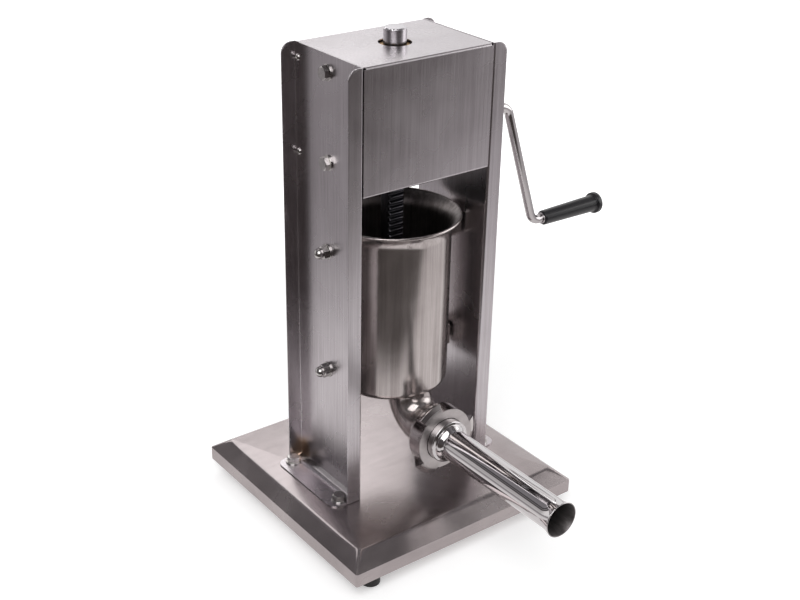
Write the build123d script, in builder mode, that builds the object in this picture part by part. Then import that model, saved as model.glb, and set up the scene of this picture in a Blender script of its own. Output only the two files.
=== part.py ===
"""Upright hand-cranked sausage stuffer: a pressed tray with two flanged side plates, a two-speed gear head,
a rack rod with its piston, a round barrel with a spout, and a stuffing tube held by a three-eared ring nut.

Millimetres, +Z up. The origin is on the table under the axis of the barrel. The spout points to -Y and the
crank is on the +X side. The piston is at the bottom of the barrel, which is where the rack's travel begins.
"""

from build123d import *
from math import acos, asin, cos, degrees, pi, radians, sin, sqrt, tan
import os

os.makedirs("parts", exist_ok=True)

# ---------------------------------------------------------------- clearances
seat_gap = 0.05  # between a fastener and the hole that it fills
running_gap = 0.05  # radial, between a shaft and its bush
cover_gap = 0.4  # between the covers and the side plates
rest_gap = 0.3  # between moving pieces that rest on each other

# ---------------------------------------------------------------- tray
tray_width = 300.0
tray_depth = 298.0
deck_width = 266.4
deck_depth = 259.6
tray_sheet = 1.5
skirt_height = 15.4
bevel_drop = 14.2
skirt_corner = 2.5
lip_width_front = 31.0
lip_width_side = 12.0

# ---------------------------------------------------------------- feet
foot_height = 16.4
foot_radius = 10.5
foot_top_radius = 11.2
foot_inset = 30.0  # from the tray's sides to the foot's axis, along X
foot_inset_depth = 17.5  # from the tray's front and rear to the foot's axis
foot_pocket_radius = 6.0
foot_pocket_depth = 9.0
foot_screw_radius = 2.5
foot_screw_head_radius = 4.8
foot_screw_head_height = 3.0
foot_nut_flats = 8.0
foot_nut_height = 4.0
foot_screw_spare = 1.2

# ---------------------------------------------------------------- side plates
plate_sheet = 1.5
plate_outer_x = 81.5
plate_depth = 117.0
plate_height = 484.3
flange_width = 16.1
flange_corner = 11.0
sole_reach = 34.5
sole_corner = 10.0
bend_radius = 2.5
sole_clearance = 0.7
sole_bolt_x = 100.5
sole_bolt_y = 46.0

# ---------------------------------------------------------------- common bolts
bolt_radius = 4.0
bolt_flats = 13.0
bolt_head_height = 5.3
washer_radius = 8.5
washer_thickness = 1.6
nut_height = 6.5
bolt_spare = 2.0
dome_height = 14.0
dome_skirt = 6.5
dome_radius = 5.9

# ---------------------------------------------------------------- head covers
cover_sheet = 1.2
cover_height = 131.8
cover_lip = 14.0
cover_lip_set_in = 2.0
cover_foot_lip = 12.0
rod_window_radius = 17.25
notch = 2.4
cover_screw_radius = 2.0
cover_screw_head_radius = 3.7
cover_screw_head_height = 2.3
cover_screw_from_bend = 6.0
cover_screw_low = 17.5  # above the covers' lower edge
cover_screw_high = 116.5
cover_nut_flats = 7.0
cover_nut_height = 3.0

# ---------------------------------------------------------------- gear head
bearing_plate = 8.0
bearing_plate_depth = 84.0
bearing_plate_margin = 4.5  # from the covers' lower edge to the bearing plates
bearing_plate_top_margin = 3.3
head_bolt_low = 21.0  # above the covers' lower edge
head_bolt_high = 113.6
guide_plate = 10.0
guide_plate_depth = 40.0
guide_plate_inset = 1.0
guide_screw_radius = 3.0
guide_screw_head_radius = 5.0
guide_screw_head_height = 5.0
guide_screw_length = 16.0
guide_screw_y = 13.0
guide_screw_socket_flats = 5.0
guide_screw_socket_depth = 3.0

# ---------------------------------------------------------------- rack, pinion and gears
pressure_angle = 20.0
addendum_factor = 0.85
dedendum_factor = 1.15
tooth_thinning = 0.05  # each flank is set back by this much along the pitch line
rack_module = 2.0
rack_pinion_teeth = 15
rack_pitch_depth = 3.5  # from the front of the rod to the rack's pitch line
gear_module = 1.5
drive_gear_teeth = 38
slow_pinion_teeth = 13
rack_lift = 190.0
rack_spare_teeth = 2

rod_radius = 12.0
rod_above_cover = 15.5
rod_chamfer = 1.5
rod_bush_wall = 3.5
bush_flange_radius = 17.0
bush_flange = 1.6

shaft_above_cover_edge = 48.0  # the crank shaft's axis, above the covers' lower edge
crank_shaft_radius = 7.0
slow_shaft_radius = 6.0
shaft_free_end = 30.5  # beyond the right side plate
shaft_end_radius = 6.0  # the same on both shafts, so that the crank fits either
shaft_shoulder = 1.0
shaft_end_gap = 1.0
shaft_bush_wall = 3.0
shaft_bush_flange_radius = 12.5
shaft_bush_flange = 2.0
shaft_bush_beyond = 1.5
circlip_thickness = 1.2
circlip_groove = 0.5
circlip_height = 3.2
circlip_mouth = 5.0
circlip_side_gap = 0.1

pinion_width = 14.0
pinion_hub = 6.0
pinion_hub_radius = 10.8
drive_gear_start = 17.0
drive_gear_width = 8.0
drive_gear_hub = 12.0
drive_gear_hub_radius = 14.0
drive_gear_hole_radius = 4.5
drive_gear_hole_circle = 20.0
drive_gear_holes = 5
slow_pinion_overhang = 2.0
key_width = 5.0
key_height = 5.0
key_depth = 3.0
key_end_gap = 1.0
key_gap = 0.04
drive_pin_radius = 2.5
drive_pin_length = 21.0
drive_pin_from_end = 20.0

# ---------------------------------------------------------------- piston
piston_wall_gap = 2.3
piston_thickness = 14.0
piston_above_floor = 6.0
piston_hub_radius = 20.0
piston_hub_height = 12.0
piston_screw_radius = 4.0
piston_screw_head_radius = 8.0
piston_screw_length = 26.0
seal_height = 8.0
seal_depth = 3.5
seal_wall_gap = 0.3
seal_lip_height = 3.0
valve_offset = 38.0
valve_stem_radius = 6.0
valve_flange_radius = 9.0
valve_flange = 2.0
valve_bore_radius = 3.0
valve_pocket_radius = 4.6
valve_pocket_depth = 7.5
poppet_stem_radius = 2.6
poppet_head_radius = 7.0
poppet_head = 2.0
poppet_foot_radius = 4.2
poppet_foot = 2.0
poppet_lift = 2.0

# ---------------------------------------------------------------- barrel
barrel_radius = 64.0
barrel_sheet = 1.2
barrel_above_deck = 105.0
barrel_floor_radius = 9.0
rim_reach = 10.5
rim_wire_radius = 1.5
rim_flare_height = 18.0
rim_above_upper_peg = 26.6
ear_half_width = 13.0
ear_rise = 14.0
ear_drop = 11.0
catch_reach = 25.0
catch_back = 9.0
catch_rise = 16.0
catch_drop = 11.0
peg_radius = 6.0
peg_gap = 0.2
peg_shoulder_radius = 9.0
peg_shoulder = 2.0
peg_to_barrel = 2.0
peg_y = 2.0
lower_peg_above_deck = 136.2
upper_peg_above_deck = 275.4

# ---------------------------------------------------------------- spout, ring nut and stuffing tube
spout_above_deck = 71.5
spout_radius = 24.0
spout_wall = 1.5
spout_straight = 9.5  # from the end of the bend to the back of the ring nut
nut_face_y = -101.5
nut_thickness = 22.0
nut_lip = 5.5
nut_lip_radius = 24.6
thread_radius = 28.2
thread_gap = 0.1
thread_pitch = 4.0
thread_depth = 0.9
thread_start = 4.0  # the thread begins this far behind the ring nut
nut_disc_radius = 34.8
nut_back_radius = 31.5
nut_ear_radius = 43.5
nut_ear_half_angle = 19.0
nut_ear_turn = -3.5
nut_ears = 3
nut_ear_fillet = 7.0
nut_bevel = 4.0
gasket_thickness = 2.4
tube_flange = 3.0
tube_flange_radius = 27.6
bell_gap = 0.6
bell_beyond_nut = 2.5
bell_cone = 13.0
tube_radius = 17.0
tube_wall = 1.2
tube_mouth_y = -283.7
tube_mouth_radius = 19.6
tube_flare_length = 14.0

# ---------------------------------------------------------------- crank
socket_radius = 10.5
socket_start_gap = 3.0
socket_wall = 7.5
crank_rod_radius = 5.0
crank_first_corner_x = 134.0
crank_second_corner_x = 181.3
crank_drop = 144.5
crank_first_bend = 18.0
crank_second_bend = 14.0
grip_start = 197.0
grip_end = 283.5
grip_start_radius = 8.4
grip_end_radius = 9.8
grip_flange_radius = 12.4
grip_flange = 7.0
grip_bore_gap = 0.08
grip_pocket_radius = 7.5
grip_pocket_depth = 8.0
grip_collar_radius = 6.5
grip_collar = 2.0
grip_nut_flange_radius = 6.6
grip_nut_flange = 1.2
grip_stud_radius = 3.0
grip_nut_flats = 10.0
grip_nut_height = 4.6

# ---------------------------------------------------------------- places worked out from the sizes
skirt_top_z = foot_height + skirt_height
deck_z = skirt_top_z + bevel_drop
foot_x = tray_width / 2 - foot_inset
foot_y = tray_depth / 2 - foot_inset_depth
plate_inner_x = plate_outer_x - plate_sheet
plate_half_depth = plate_depth / 2
flange_x = plate_outer_x + flange_width
sole_x = plate_outer_x + sole_reach
plate_top_z = deck_z + plate_height
cover_half_width = plate_inner_x - cover_gap
cover_top_z = plate_top_z - 0.2
cover_low_z = cover_top_z - cover_height
cover_screw_y = plate_half_depth - cover_screw_from_bend
cover_screw_zs = (cover_low_z + cover_screw_low, cover_low_z + cover_screw_high)
bearing_low_z = cover_low_z + bearing_plate_margin
bearing_top_z = cover_top_z - bearing_plate_top_margin
bearing_inner_x = plate_inner_x - bearing_plate
head_bolt_zs = (cover_low_z + head_bolt_low, cover_low_z + head_bolt_high)
lower_guide_z = bearing_low_z + guide_plate_inset
upper_guide_z = bearing_top_z - guide_plate_inset - guide_plate

rack_pinion_radius = rack_module * rack_pinion_teeth / 2
rack_pitch_y = -rod_radius + rack_pitch_depth
shaft_y = rack_pitch_y - rack_pinion_radius
crank_shaft_z = cover_low_z + shaft_above_cover_edge
drive_gear_radius = gear_module * drive_gear_teeth / 2
slow_pinion_radius = gear_module * slow_pinion_teeth / 2
slow_shaft_z = crank_shaft_z + drive_gear_radius + slow_pinion_radius
shaft_end_x = plate_outer_x + shaft_free_end
drive_pin_x = shaft_end_x - drive_pin_from_end

barrel_low_z = deck_z + barrel_above_deck
barrel_inner_radius = barrel_radius - barrel_sheet
piston_radius = barrel_inner_radius - piston_wall_gap
seal_lip_radius = barrel_inner_radius - seal_wall_gap
barrel_floor_z = barrel_low_z + barrel_sheet
rim_z = deck_z + upper_peg_above_deck + rim_above_upper_peg
piston_low_z = barrel_floor_z + piston_above_floor
piston_top_z = piston_low_z + piston_thickness
rod_low_z = piston_low_z + piston_thickness / 2
rod_top_z = cover_top_z + rod_above_cover

peg_zs = (deck_z + lower_peg_above_deck, deck_z + upper_peg_above_deck)
peg_end_x = barrel_radius + peg_to_barrel
spout_z = deck_z + spout_above_deck
spout_bend = barrel_low_z - spout_z
nut_back_y = nut_face_y + nut_thickness
tube_flange_front_y = nut_face_y + nut_lip + 0.2
tube_flange_back_y = tube_flange_front_y + tube_flange
stub_end_y = tube_flange_back_y + gasket_thickness
spout_bend_y = nut_back_y + spout_straight
spout_floor_y = spout_bend_y + spout_bend
grip_z = crank_shaft_z - crank_drop
sides = (("left", -1), ("right", 1))


# ---------------------------------------------------------------- helpers
def finish(part, name):
    """Label a finished piece and write its file."""
    part.label = name
    export_step(part, f"parts/{name}.step")


def group(shape, places):
    """Copies of one shape at many places, kept as separate solids."""
    with BuildPart() as copies:
        with Locations(*places):
            add(shape)
    return copies.part


def outward(side, x, y, z):
    """A place on a side plate, whose own +Z axis points out of the machine on that side."""
    return Location((side * x, y, z), (0, side * 90, 0))


def involute_angle(radius, base_radius):
    """Polar angle that an involute has gained at a radius."""
    alpha = acos(base_radius / radius)
    return tan(alpha) - alpha


def gear_outline(module, teeth, steps=5):
    """Points round an involute gear about the origin, with one tooth centred on the first local axis."""
    pitch_radius = module * teeth / 2
    base_radius = pitch_radius * cos(radians(pressure_angle))
    tip_radius = pitch_radius + addendum_factor * module
    root_radius = pitch_radius - dedendum_factor * module
    half_tooth = pi / (2 * teeth) - tooth_thinning / pitch_radius
    half_tooth += involute_angle(pitch_radius, base_radius)
    low_radius = max(base_radius, root_radius)
    flank = []
    for step in range(steps + 1):
        radius = low_radius + (tip_radius - low_radius) * step / steps
        flank.append((radius, half_tooth - involute_angle(radius, base_radius)))
    if root_radius < base_radius:
        flank.insert(0, (root_radius, half_tooth))
    points = []
    for tooth in range(teeth):
        middle = 2 * pi * tooth / teeth
        points += [(r * cos(middle - a), r * sin(middle - a)) for r, a in flank]
        points += [(r * cos(middle + a), r * sin(middle + a)) for r, a in reversed(flank)]
    return points


def flat_washer(outer_radius, hole_radius, thickness):
    """A flat washer standing on the local XY plane."""
    with BuildPart() as washer:
        Cylinder(outer_radius, thickness, align=(Align.CENTER, Align.CENTER, Align.MIN))
        Hole(hole_radius)
        top_edges = washer.edges().filter_by(GeomType.CIRCLE).group_by(Axis.Z)[-1]
        chamfer(top_edges.sort_by(SortBy.RADIUS)[-1], 0.3)
    return washer.part


def hexagon(flats, height):
    """A hexagonal prism standing on the local XY plane, with its top corners turned off."""
    corner = flats / sqrt(3)
    with BuildPart() as prism:
        with BuildSketch():
            RegularPolygon(flats / 2, 6, major_radius=False)
        extrude(amount=height)
        with BuildSketch(Plane.XZ):
            with BuildLine():
                Polyline(
                    (0, 0),
                    (corner, 0),
                    (corner, height - (corner - flats / 2) * tan(radians(30)) * 2),
                    (flats / 2 - 0.2, height),
                    (0, height),
                    close=True,
                )
            make_face()
        revolve(axis=Axis.Z, mode=Mode.INTERSECT)
    return prism.part


def hex_nut(flats, height, hole_radius):
    """A hexagon nut standing on the local XY plane."""
    with BuildPart() as nut:
        add(hexagon(flats, height))
        Hole(hole_radius)
    return nut.part


def hex_bolt(radius, flats, head_height, length):
    """A hexagon-headed bolt: the head stands on the local XY plane and the shank goes down from it."""
    with BuildPart() as bolt:
        add(hexagon(flats, head_height))
        Cylinder(radius, length, align=(Align.CENTER, Align.CENTER, Align.MAX))
        chamfer(bolt.faces().sort_by(Axis.Z)[0].edges(), radius / 5)
    return bolt.part


def round_screw(radius, head_radius, head_height, length, recess_flats, recess_depth):
    """A round-headed screw with a hexagon recess: the head stands on the local XY plane."""
    with BuildPart() as screw:
        Cylinder(head_radius, head_height, align=(Align.CENTER, Align.CENTER, Align.MIN))
        fillet(screw.edges().group_by(Axis.Z)[-1], min(head_height, head_radius) * 0.3)
        Cylinder(radius, length, align=(Align.CENTER, Align.CENTER, Align.MAX))
        chamfer(screw.faces().sort_by(Axis.Z)[0].edges(), radius / 5)
        with BuildSketch(Plane.XY.offset(head_height)):
            RegularPolygon(recess_flats / 2, 6, major_radius=False)
        extrude(amount=-recess_depth, mode=Mode.SUBTRACT)
    return screw.part


# ---------------------------------------------------------------- tray and feet
bevel_run = (tray_width - deck_width) / 2
bevel_turn = radians(90) - acos(bevel_drop / sqrt(bevel_drop**2 + bevel_run**2))
deck_set_in = 2 * tray_sheet * tan((radians(90) - bevel_turn) / 2)

with BuildPart() as tray:
    with BuildSketch(Plane.XY.offset(foot_height)):
        RectangleRounded(tray_width, tray_depth, skirt_corner)
    extrude(amount=skirt_height)
    with BuildSketch(Plane.XY.offset(skirt_top_z)):
        RectangleRounded(tray_width, tray_depth, skirt_corner)
    with BuildSketch(Plane.XY.offset(deck_z)):
        RectangleRounded(deck_width, deck_depth, skirt_corner)
    loft()
    with BuildSketch(Plane.XY.offset(foot_height + tray_sheet)):
        RectangleRounded(tray_width - 2 * tray_sheet, tray_depth - 2 * tray_sheet, skirt_corner / 2)
    extrude(amount=skirt_height - 1.5 * tray_sheet, mode=Mode.SUBTRACT)
    with BuildSketch(Plane.XY.offset(skirt_top_z - tray_sheet / 2)):
        RectangleRounded(tray_width - 2 * tray_sheet, tray_depth - 2 * tray_sheet, skirt_corner / 2)
    with BuildSketch(Plane.XY.offset(deck_z - tray_sheet)):
        RectangleRounded(deck_width - deck_set_in, deck_depth - deck_set_in, skirt_corner / 2)
    loft(mode=Mode.SUBTRACT)
    with BuildSketch(Plane.XY.offset(foot_height)):
        Rectangle(tray_width - 2 * lip_width_side, tray_depth - 2 * lip_width_front)
    extrude(amount=tray_sheet, mode=Mode.SUBTRACT)
    with Locations((0, 0, foot_height)):
        with GridLocations(2 * foot_x, 2 * foot_y, 2, 2):
            Hole(foot_screw_radius + seat_gap, depth=2 * tray_sheet)
    with Locations((0, 0, deck_z)):
        with GridLocations(2 * sole_bolt_x, 2 * sole_bolt_y, 2, 2):
            Hole(bolt_radius + seat_gap, depth=2 * tray_sheet)
finish(tray.part, "tray")

foot_places = (
    ("front_left_foot", -foot_x, -foot_y),
    ("front_right_foot", foot_x, -foot_y),
    ("rear_left_foot", -foot_x, foot_y),
    ("rear_right_foot", foot_x, foot_y),
)
for name, x, y in foot_places:
    with BuildPart(Plane.XY) as foot:
        with Locations((x, y, 0)):
            Cone(foot_radius, foot_top_radius, foot_height, align=(Align.CENTER, Align.CENTER, Align.MIN))
        fillet(foot.edges().group_by(Axis.Z)[0], 1.2)
        with Locations((x, y, 0)):
            Cylinder(
                foot_pocket_radius,
                foot_pocket_depth,
                align=(Align.CENTER, Align.CENTER, Align.MIN),
                mode=Mode.SUBTRACT,
            )
            Cylinder(
                foot_screw_radius + seat_gap,
                foot_height,
                align=(Align.CENTER, Align.CENTER, Align.MIN),
                mode=Mode.SUBTRACT,
            )
    finish(foot.part, name)

foot_screw_length = foot_height - foot_pocket_depth + tray_sheet + foot_nut_height + foot_screw_spare
foot_screw = round_screw(
    foot_screw_radius, foot_screw_head_radius, foot_screw_head_height, foot_screw_length, 3.0, 1.8
)
foot_screw_places = [Location((x, y, foot_pocket_depth), (180, 0, 0)) for _, x, y in foot_places]
foot_screws = group(foot_screw, foot_screw_places)
finish(foot_screws, "foot_screws")

foot_nut = hex_nut(foot_nut_flats, foot_nut_height, foot_screw_radius + seat_gap)
foot_nuts = group(foot_nut, [Location((x, y, foot_height + tray_sheet)) for _, x, y in foot_places])
finish(foot_nuts, "foot_nuts")

# ---------------------------------------------------------------- side plates
shaft_hole_radii = (
    (crank_shaft_z, crank_shaft_radius + shaft_bush_wall + seat_gap),
    (slow_shaft_z, slow_shaft_radius + shaft_bush_wall + seat_gap),
)
for hand, side in sides:
    flange_inner_y = plate_half_depth - plate_sheet
    sole_half = flange_inner_y - sole_clearance
    with BuildPart() as plate:
        with BuildSketch(Plane.XY.offset(deck_z + sole_clearance)) as channel:
            with BuildLine():
                Polyline(
                    (side * flange_x, -plate_half_depth),
                    (side * plate_inner_x, -plate_half_depth),
                    (side * plate_inner_x, plate_half_depth),
                    (side * flange_x, plate_half_depth),
                    (side * flange_x, flange_inner_y),
                    (side * plate_outer_x, flange_inner_y),
                    (side * plate_outer_x, -flange_inner_y),
                    (side * flange_x, -flange_inner_y),
                    close=True,
                )
            make_face()
            bends = channel.vertices().filter_by(lambda v: abs(v.X) < plate_outer_x + 0.1)
            fillet(bends.filter_by(lambda v: abs(v.Y) > flange_inner_y + 0.1), bend_radius)
            bends = channel.vertices().filter_by(lambda v: abs(abs(v.X) - plate_outer_x) < 0.01)
            inner_bends = bends.filter_by(lambda v: abs(abs(v.Y) - flange_inner_y) < 0.01)
            fillet(inner_bends, bend_radius - plate_sheet)
        extrude(amount=plate_height - sole_clearance)
        tips = plate.edges().filter_by(Axis.Y).group_by(Axis.Z)[-1]
        fillet(tips.filter_by(lambda e: abs(abs(e.center().X) - flange_x) < 0.01), flange_corner)
        with Locations((side * (plate_inner_x + plate_outer_x) / 2, 0, deck_z)):
            Box(plate_sheet, 2 * sole_half, 2, align=(Align.CENTER, Align.CENTER, Align.MIN))
        with Locations((side * (plate_inner_x + sole_x) / 2, 0, deck_z)):
            Box(
                sole_x - plate_inner_x,
                2 * sole_half,
                plate_sheet,
                align=(Align.CENTER, Align.CENTER, Align.MIN),
            )
        upright_edges = plate.edges().filter_by(Axis.Z)
        corners = upright_edges.filter_by(lambda e: abs(abs(e.center().X) - sole_x) < 0.01)
        fillet(corners, sole_corner)
        with Locations(*[(side * sole_bolt_x, y, deck_z) for y in (-sole_bolt_y, sole_bolt_y)]):
            Hole(bolt_radius + seat_gap, depth=2 * plate_sheet)
        holes = [(peg_y, z, bolt_radius + seat_gap) for z in peg_zs]
        holes += [(0, z, bolt_radius + seat_gap) for z in head_bolt_zs]
        holes += [(cover_screw_y, z, cover_screw_radius + seat_gap) for z in cover_screw_zs]
        if hand == "right":
            holes += [(shaft_y, z, radius) for z, radius in shaft_hole_radii]
        for y, z, radius in holes:
            with BuildSketch(Plane.YZ.offset(side * plate_outer_x)):
                with Locations((y, z)):
                    Circle(radius)
            extrude(amount=-side * 2 * plate_sheet, mode=Mode.SUBTRACT)
    finish(plate.part, f"{hand}_side_plate")

sole_places = [(x, y) for x in (-sole_bolt_x, sole_bolt_x) for y in (-sole_bolt_y, sole_bolt_y)]
sole_top_z = deck_z + plate_sheet
sole_washer = flat_washer(washer_radius, bolt_radius + seat_gap, washer_thickness)
finish(group(sole_washer, [Location((x, y, sole_top_z)) for x, y in sole_places]), "sole_washers")
sole_grip = washer_thickness + plate_sheet + tray_sheet
sole_bolt = hex_bolt(bolt_radius, bolt_flats, bolt_head_height, sole_grip + nut_height + bolt_spare)
sole_bolt_places = [Location((x, y, sole_top_z + washer_thickness)) for x, y in sole_places]
finish(group(sole_bolt, sole_bolt_places), "sole_bolts")
sole_nut = hex_nut(bolt_flats, nut_height, bolt_radius + seat_gap)
sole_nut_places = [Location((x, y, deck_z - tray_sheet - nut_height)) for x, y in sole_places]
finish(group(sole_nut, sole_nut_places), "sole_nuts")

# ---------------------------------------------------------------- head covers
with BuildPart() as front_cover:
    with BuildSketch(Plane.YZ.offset(-cover_half_width)) as fold:
        with BuildLine():
            Polyline(
                (-plate_half_depth, cover_low_z),
                (-plate_half_depth, cover_top_z),
                (plate_half_depth - 2 * cover_sheet, cover_top_z),
                (plate_half_depth - 2 * cover_sheet, cover_top_z - cover_sheet),
                (-plate_half_depth + cover_sheet, cover_top_z - cover_sheet),
                (-plate_half_depth + cover_sheet, cover_low_z + cover_sheet),
                (-plate_half_depth + cover_foot_lip, cover_low_z + cover_sheet),
                (-plate_half_depth + cover_foot_lip, cover_low_z),
                close=True,
            )
        make_face()
        fillet(fold.vertices().group_by(Axis.X)[0], bend_radius)
    extrude(amount=2 * cover_half_width)
    for side in (-1, 1):
        with Locations(
            (
                side * (cover_half_width - cover_sheet / 2),
                -plate_half_depth + cover_sheet / 2,
                cover_low_z + cover_lip_set_in,
            )
        ):
            Box(
                cover_sheet,
                cover_lip - cover_sheet / 2,
                cover_height - cover_sheet - 2 * cover_lip_set_in,
                align=(Align.CENTER, Align.MIN, Align.MIN),
            )
        with Locations((side * cover_half_width, -plate_half_depth, cover_top_z)):
            Box(2 * notch, 2 * notch, 2 * notch, mode=Mode.SUBTRACT)
    with Locations((0, 0, cover_top_z)):
        Hole(rod_window_radius, depth=2 * cover_sheet)
finish(front_cover.part, "front_cover")

rear_cover_top_z = cover_top_z - cover_sheet - cover_gap
with BuildPart() as rear_cover:
    with BuildSketch(Plane.XY.offset(cover_low_z)) as bent:
        with BuildLine():
            Polyline(
                (-cover_half_width, plate_half_depth - cover_lip),
                (-cover_half_width, plate_half_depth),
                (cover_half_width, plate_half_depth),
                (cover_half_width, plate_half_depth - cover_lip),
                (cover_half_width - cover_sheet, plate_half_depth - cover_lip),
                (cover_half_width - cover_sheet, plate_half_depth - cover_sheet),
                (-cover_half_width + cover_sheet, plate_half_depth - cover_sheet),
                (-cover_half_width + cover_sheet, plate_half_depth - cover_lip),
                close=True,
            )
        make_face()
        fillet(bent.vertices().group_by(Axis.Y)[-1], bend_radius)
    extrude(amount=rear_cover_top_z - cover_low_z)
    for z in cover_screw_zs:
        with BuildSketch(Plane.YZ.offset(-cover_half_width - 1)):
            with Locations((cover_screw_y, z)):
                Circle(cover_screw_radius + seat_gap)
        extrude(amount=2 * cover_half_width + 2, mode=Mode.SUBTRACT)
finish(rear_cover.part, "rear_cover")

cover_screw_grip = plate_sheet + cover_gap + cover_sheet
cover_screw = round_screw(
    cover_screw_radius,
    cover_screw_head_radius,
    cover_screw_head_height,
    cover_screw_grip + cover_nut_height + 0.6,
    2.6,
    1.5,
)
cover_places = [(side, z) for side in (-1, 1) for z in cover_screw_zs]
cover_screw_places = [outward(side, plate_outer_x, cover_screw_y, z) for side, z in cover_places]
finish(group(cover_screw, cover_screw_places), "cover_screws")
cover_nut = hex_nut(cover_nut_flats, cover_nut_height, cover_screw_radius + seat_gap)
cover_nut_x = plate_outer_x - cover_screw_grip - cover_nut_height
finish(
    group(cover_nut, [outward(side, cover_nut_x, cover_screw_y, z) for side, z in cover_places]),
    "cover_nuts",
)

# ---------------------------------------------------------------- gear head frame
guide_ys = (-guide_screw_y, guide_screw_y)
guide_zs = (lower_guide_z + guide_plate / 2, upper_guide_z + guide_plate / 2)
for hand, side in sides:
    with BuildPart() as bearing:
        with Locations((side * (bearing_inner_x + bearing_plate / 2), 0, bearing_low_z)):
            Box(
                bearing_plate,
                bearing_plate_depth,
                bearing_top_z - bearing_low_z,
                align=(Align.CENTER, Align.CENTER, Align.MIN),
            )
        chamfer(bearing.edges().filter_by(Axis.X), 2)
        holes = [(0, z, bolt_radius + seat_gap) for z in head_bolt_zs]
        holes += [(shaft_y, z, radius) for z, radius in shaft_hole_radii]
        holes += [(y, z, guide_screw_radius + seat_gap) for y in guide_ys for z in guide_zs]
        for y, z, radius in holes:
            with BuildSketch(Plane.YZ.offset(side * plate_inner_x)):
                with Locations((y, z)):
                    Circle(radius)
            extrude(amount=-side * bearing_plate, mode=Mode.SUBTRACT)
        with BuildSketch(Plane.YZ.offset(side * plate_inner_x)):
            with Locations(*[(y, z) for y in guide_ys for z in guide_zs]):
                Circle(guide_screw_head_radius + seat_gap)
        extrude(amount=-side * (guide_screw_head_height + rest_gap), mode=Mode.SUBTRACT)
    finish(bearing.part, f"{hand}_bearing_plate")

head_bolt_length = plate_sheet + washer_thickness + bearing_plate - 1
head_bolt = hex_bolt(bolt_radius, bolt_flats, bolt_head_height, head_bolt_length)
head_places = [(side, z) for side in (-1, 1) for z in head_bolt_zs]
head_washer_places = [outward(side, plate_outer_x, 0, z) for side, z in head_places]
finish(group(sole_washer, head_washer_places), "head_washers")
head_bolt_places = [outward(side, plate_outer_x + washer_thickness, 0, z) for side, z in head_places]
finish(group(head_bolt, head_bolt_places), "head_bolts")

guide_screw = round_screw(
    guide_screw_radius,
    guide_screw_head_radius,
    guide_screw_head_height,
    guide_screw_length,
    guide_screw_socket_flats,
    guide_screw_socket_depth,
)
guide_screw_x = plate_inner_x - guide_screw_head_height - rest_gap
guide_screw_places = [
    outward(side, guide_screw_x, y, z) for side in (-1, 1) for y in guide_ys for z in guide_zs
]
finish(group(guide_screw, guide_screw_places), "guide_plate_screws")

rod_bush_radius = rod_radius + rod_bush_wall
for name, low_z in (("lower_guide_plate", lower_guide_z), ("upper_guide_plate", upper_guide_z)):
    with BuildPart() as guide:
        with Locations((0, 0, low_z)):
            Box(
                2 * bearing_inner_x,
                guide_plate_depth,
                guide_plate,
                align=(Align.CENTER, Align.CENTER, Align.MIN),
            )
        chamfer(guide.edges().filter_by(Axis.X), 1)
        with Locations((0, 0, low_z + guide_plate)):
            Hole(rod_bush_radius + seat_gap, depth=guide_plate)
        for side in (-1, 1):
            with BuildSketch(Plane.YZ.offset(side * bearing_inner_x)):
                with Locations(*[(y, low_z + guide_plate / 2) for y in guide_ys]):
                    Circle(guide_screw_radius + seat_gap)
            extrude(amount=-side * guide_screw_length, mode=Mode.SUBTRACT)
    finish(guide.part, name)

with BuildPart() as rod_bush:
    Cylinder(rod_bush_radius, guide_plate, align=(Align.CENTER, Align.CENTER, Align.MIN))
    with Locations((0, 0, guide_plate)):
        Cylinder(bush_flange_radius, bush_flange, align=(Align.CENTER, Align.CENTER, Align.MIN))
    fillet(rod_bush.edges().group_by(Axis.Z)[-1], 0.5)
    Hole(rod_radius + running_gap)
rod_bush_places = [
    Location((0, 0, upper_guide_z)),
    Location((0, 0, lower_guide_z + guide_plate), (180, 0, 0)),
]
finish(group(rod_bush.part, rod_bush_places), "rod_bushes")

# ---------------------------------------------------------------- shafts and gears
shaft_shoulder_x = plate_outer_x + shaft_bush_beyond + shaft_shoulder
circlip_inner_x = bearing_inner_x - shaft_bush_flange - circlip_side_gap - circlip_thickness


def shaft_bushes(radius, z):
    """The flanged bush in each bearing plate; the right one goes on through the side plate."""
    outer_radius = radius + shaft_bush_wall
    with BuildPart() as bushes:
        for side, reach in ((-1, bearing_plate), (1, bearing_plate + plate_sheet + shaft_bush_beyond)):
            with BuildSketch(Plane.YZ.offset(side * bearing_inner_x)):
                with Locations((shaft_y, z)):
                    Circle(outer_radius)
            extrude(amount=side * reach)
            with BuildSketch(Plane.YZ.offset(side * bearing_inner_x)):
                with Locations((shaft_y, z)):
                    Circle(shaft_bush_flange_radius)
            extrude(amount=-side * shaft_bush_flange)
        with BuildSketch(Plane.YZ.offset(-plate_outer_x)):
            with Locations((shaft_y, z)):
                Circle(radius + running_gap)
        extrude(amount=2 * plate_outer_x + 2 * shaft_bush_beyond, mode=Mode.SUBTRACT)
    return bushes.part


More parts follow.
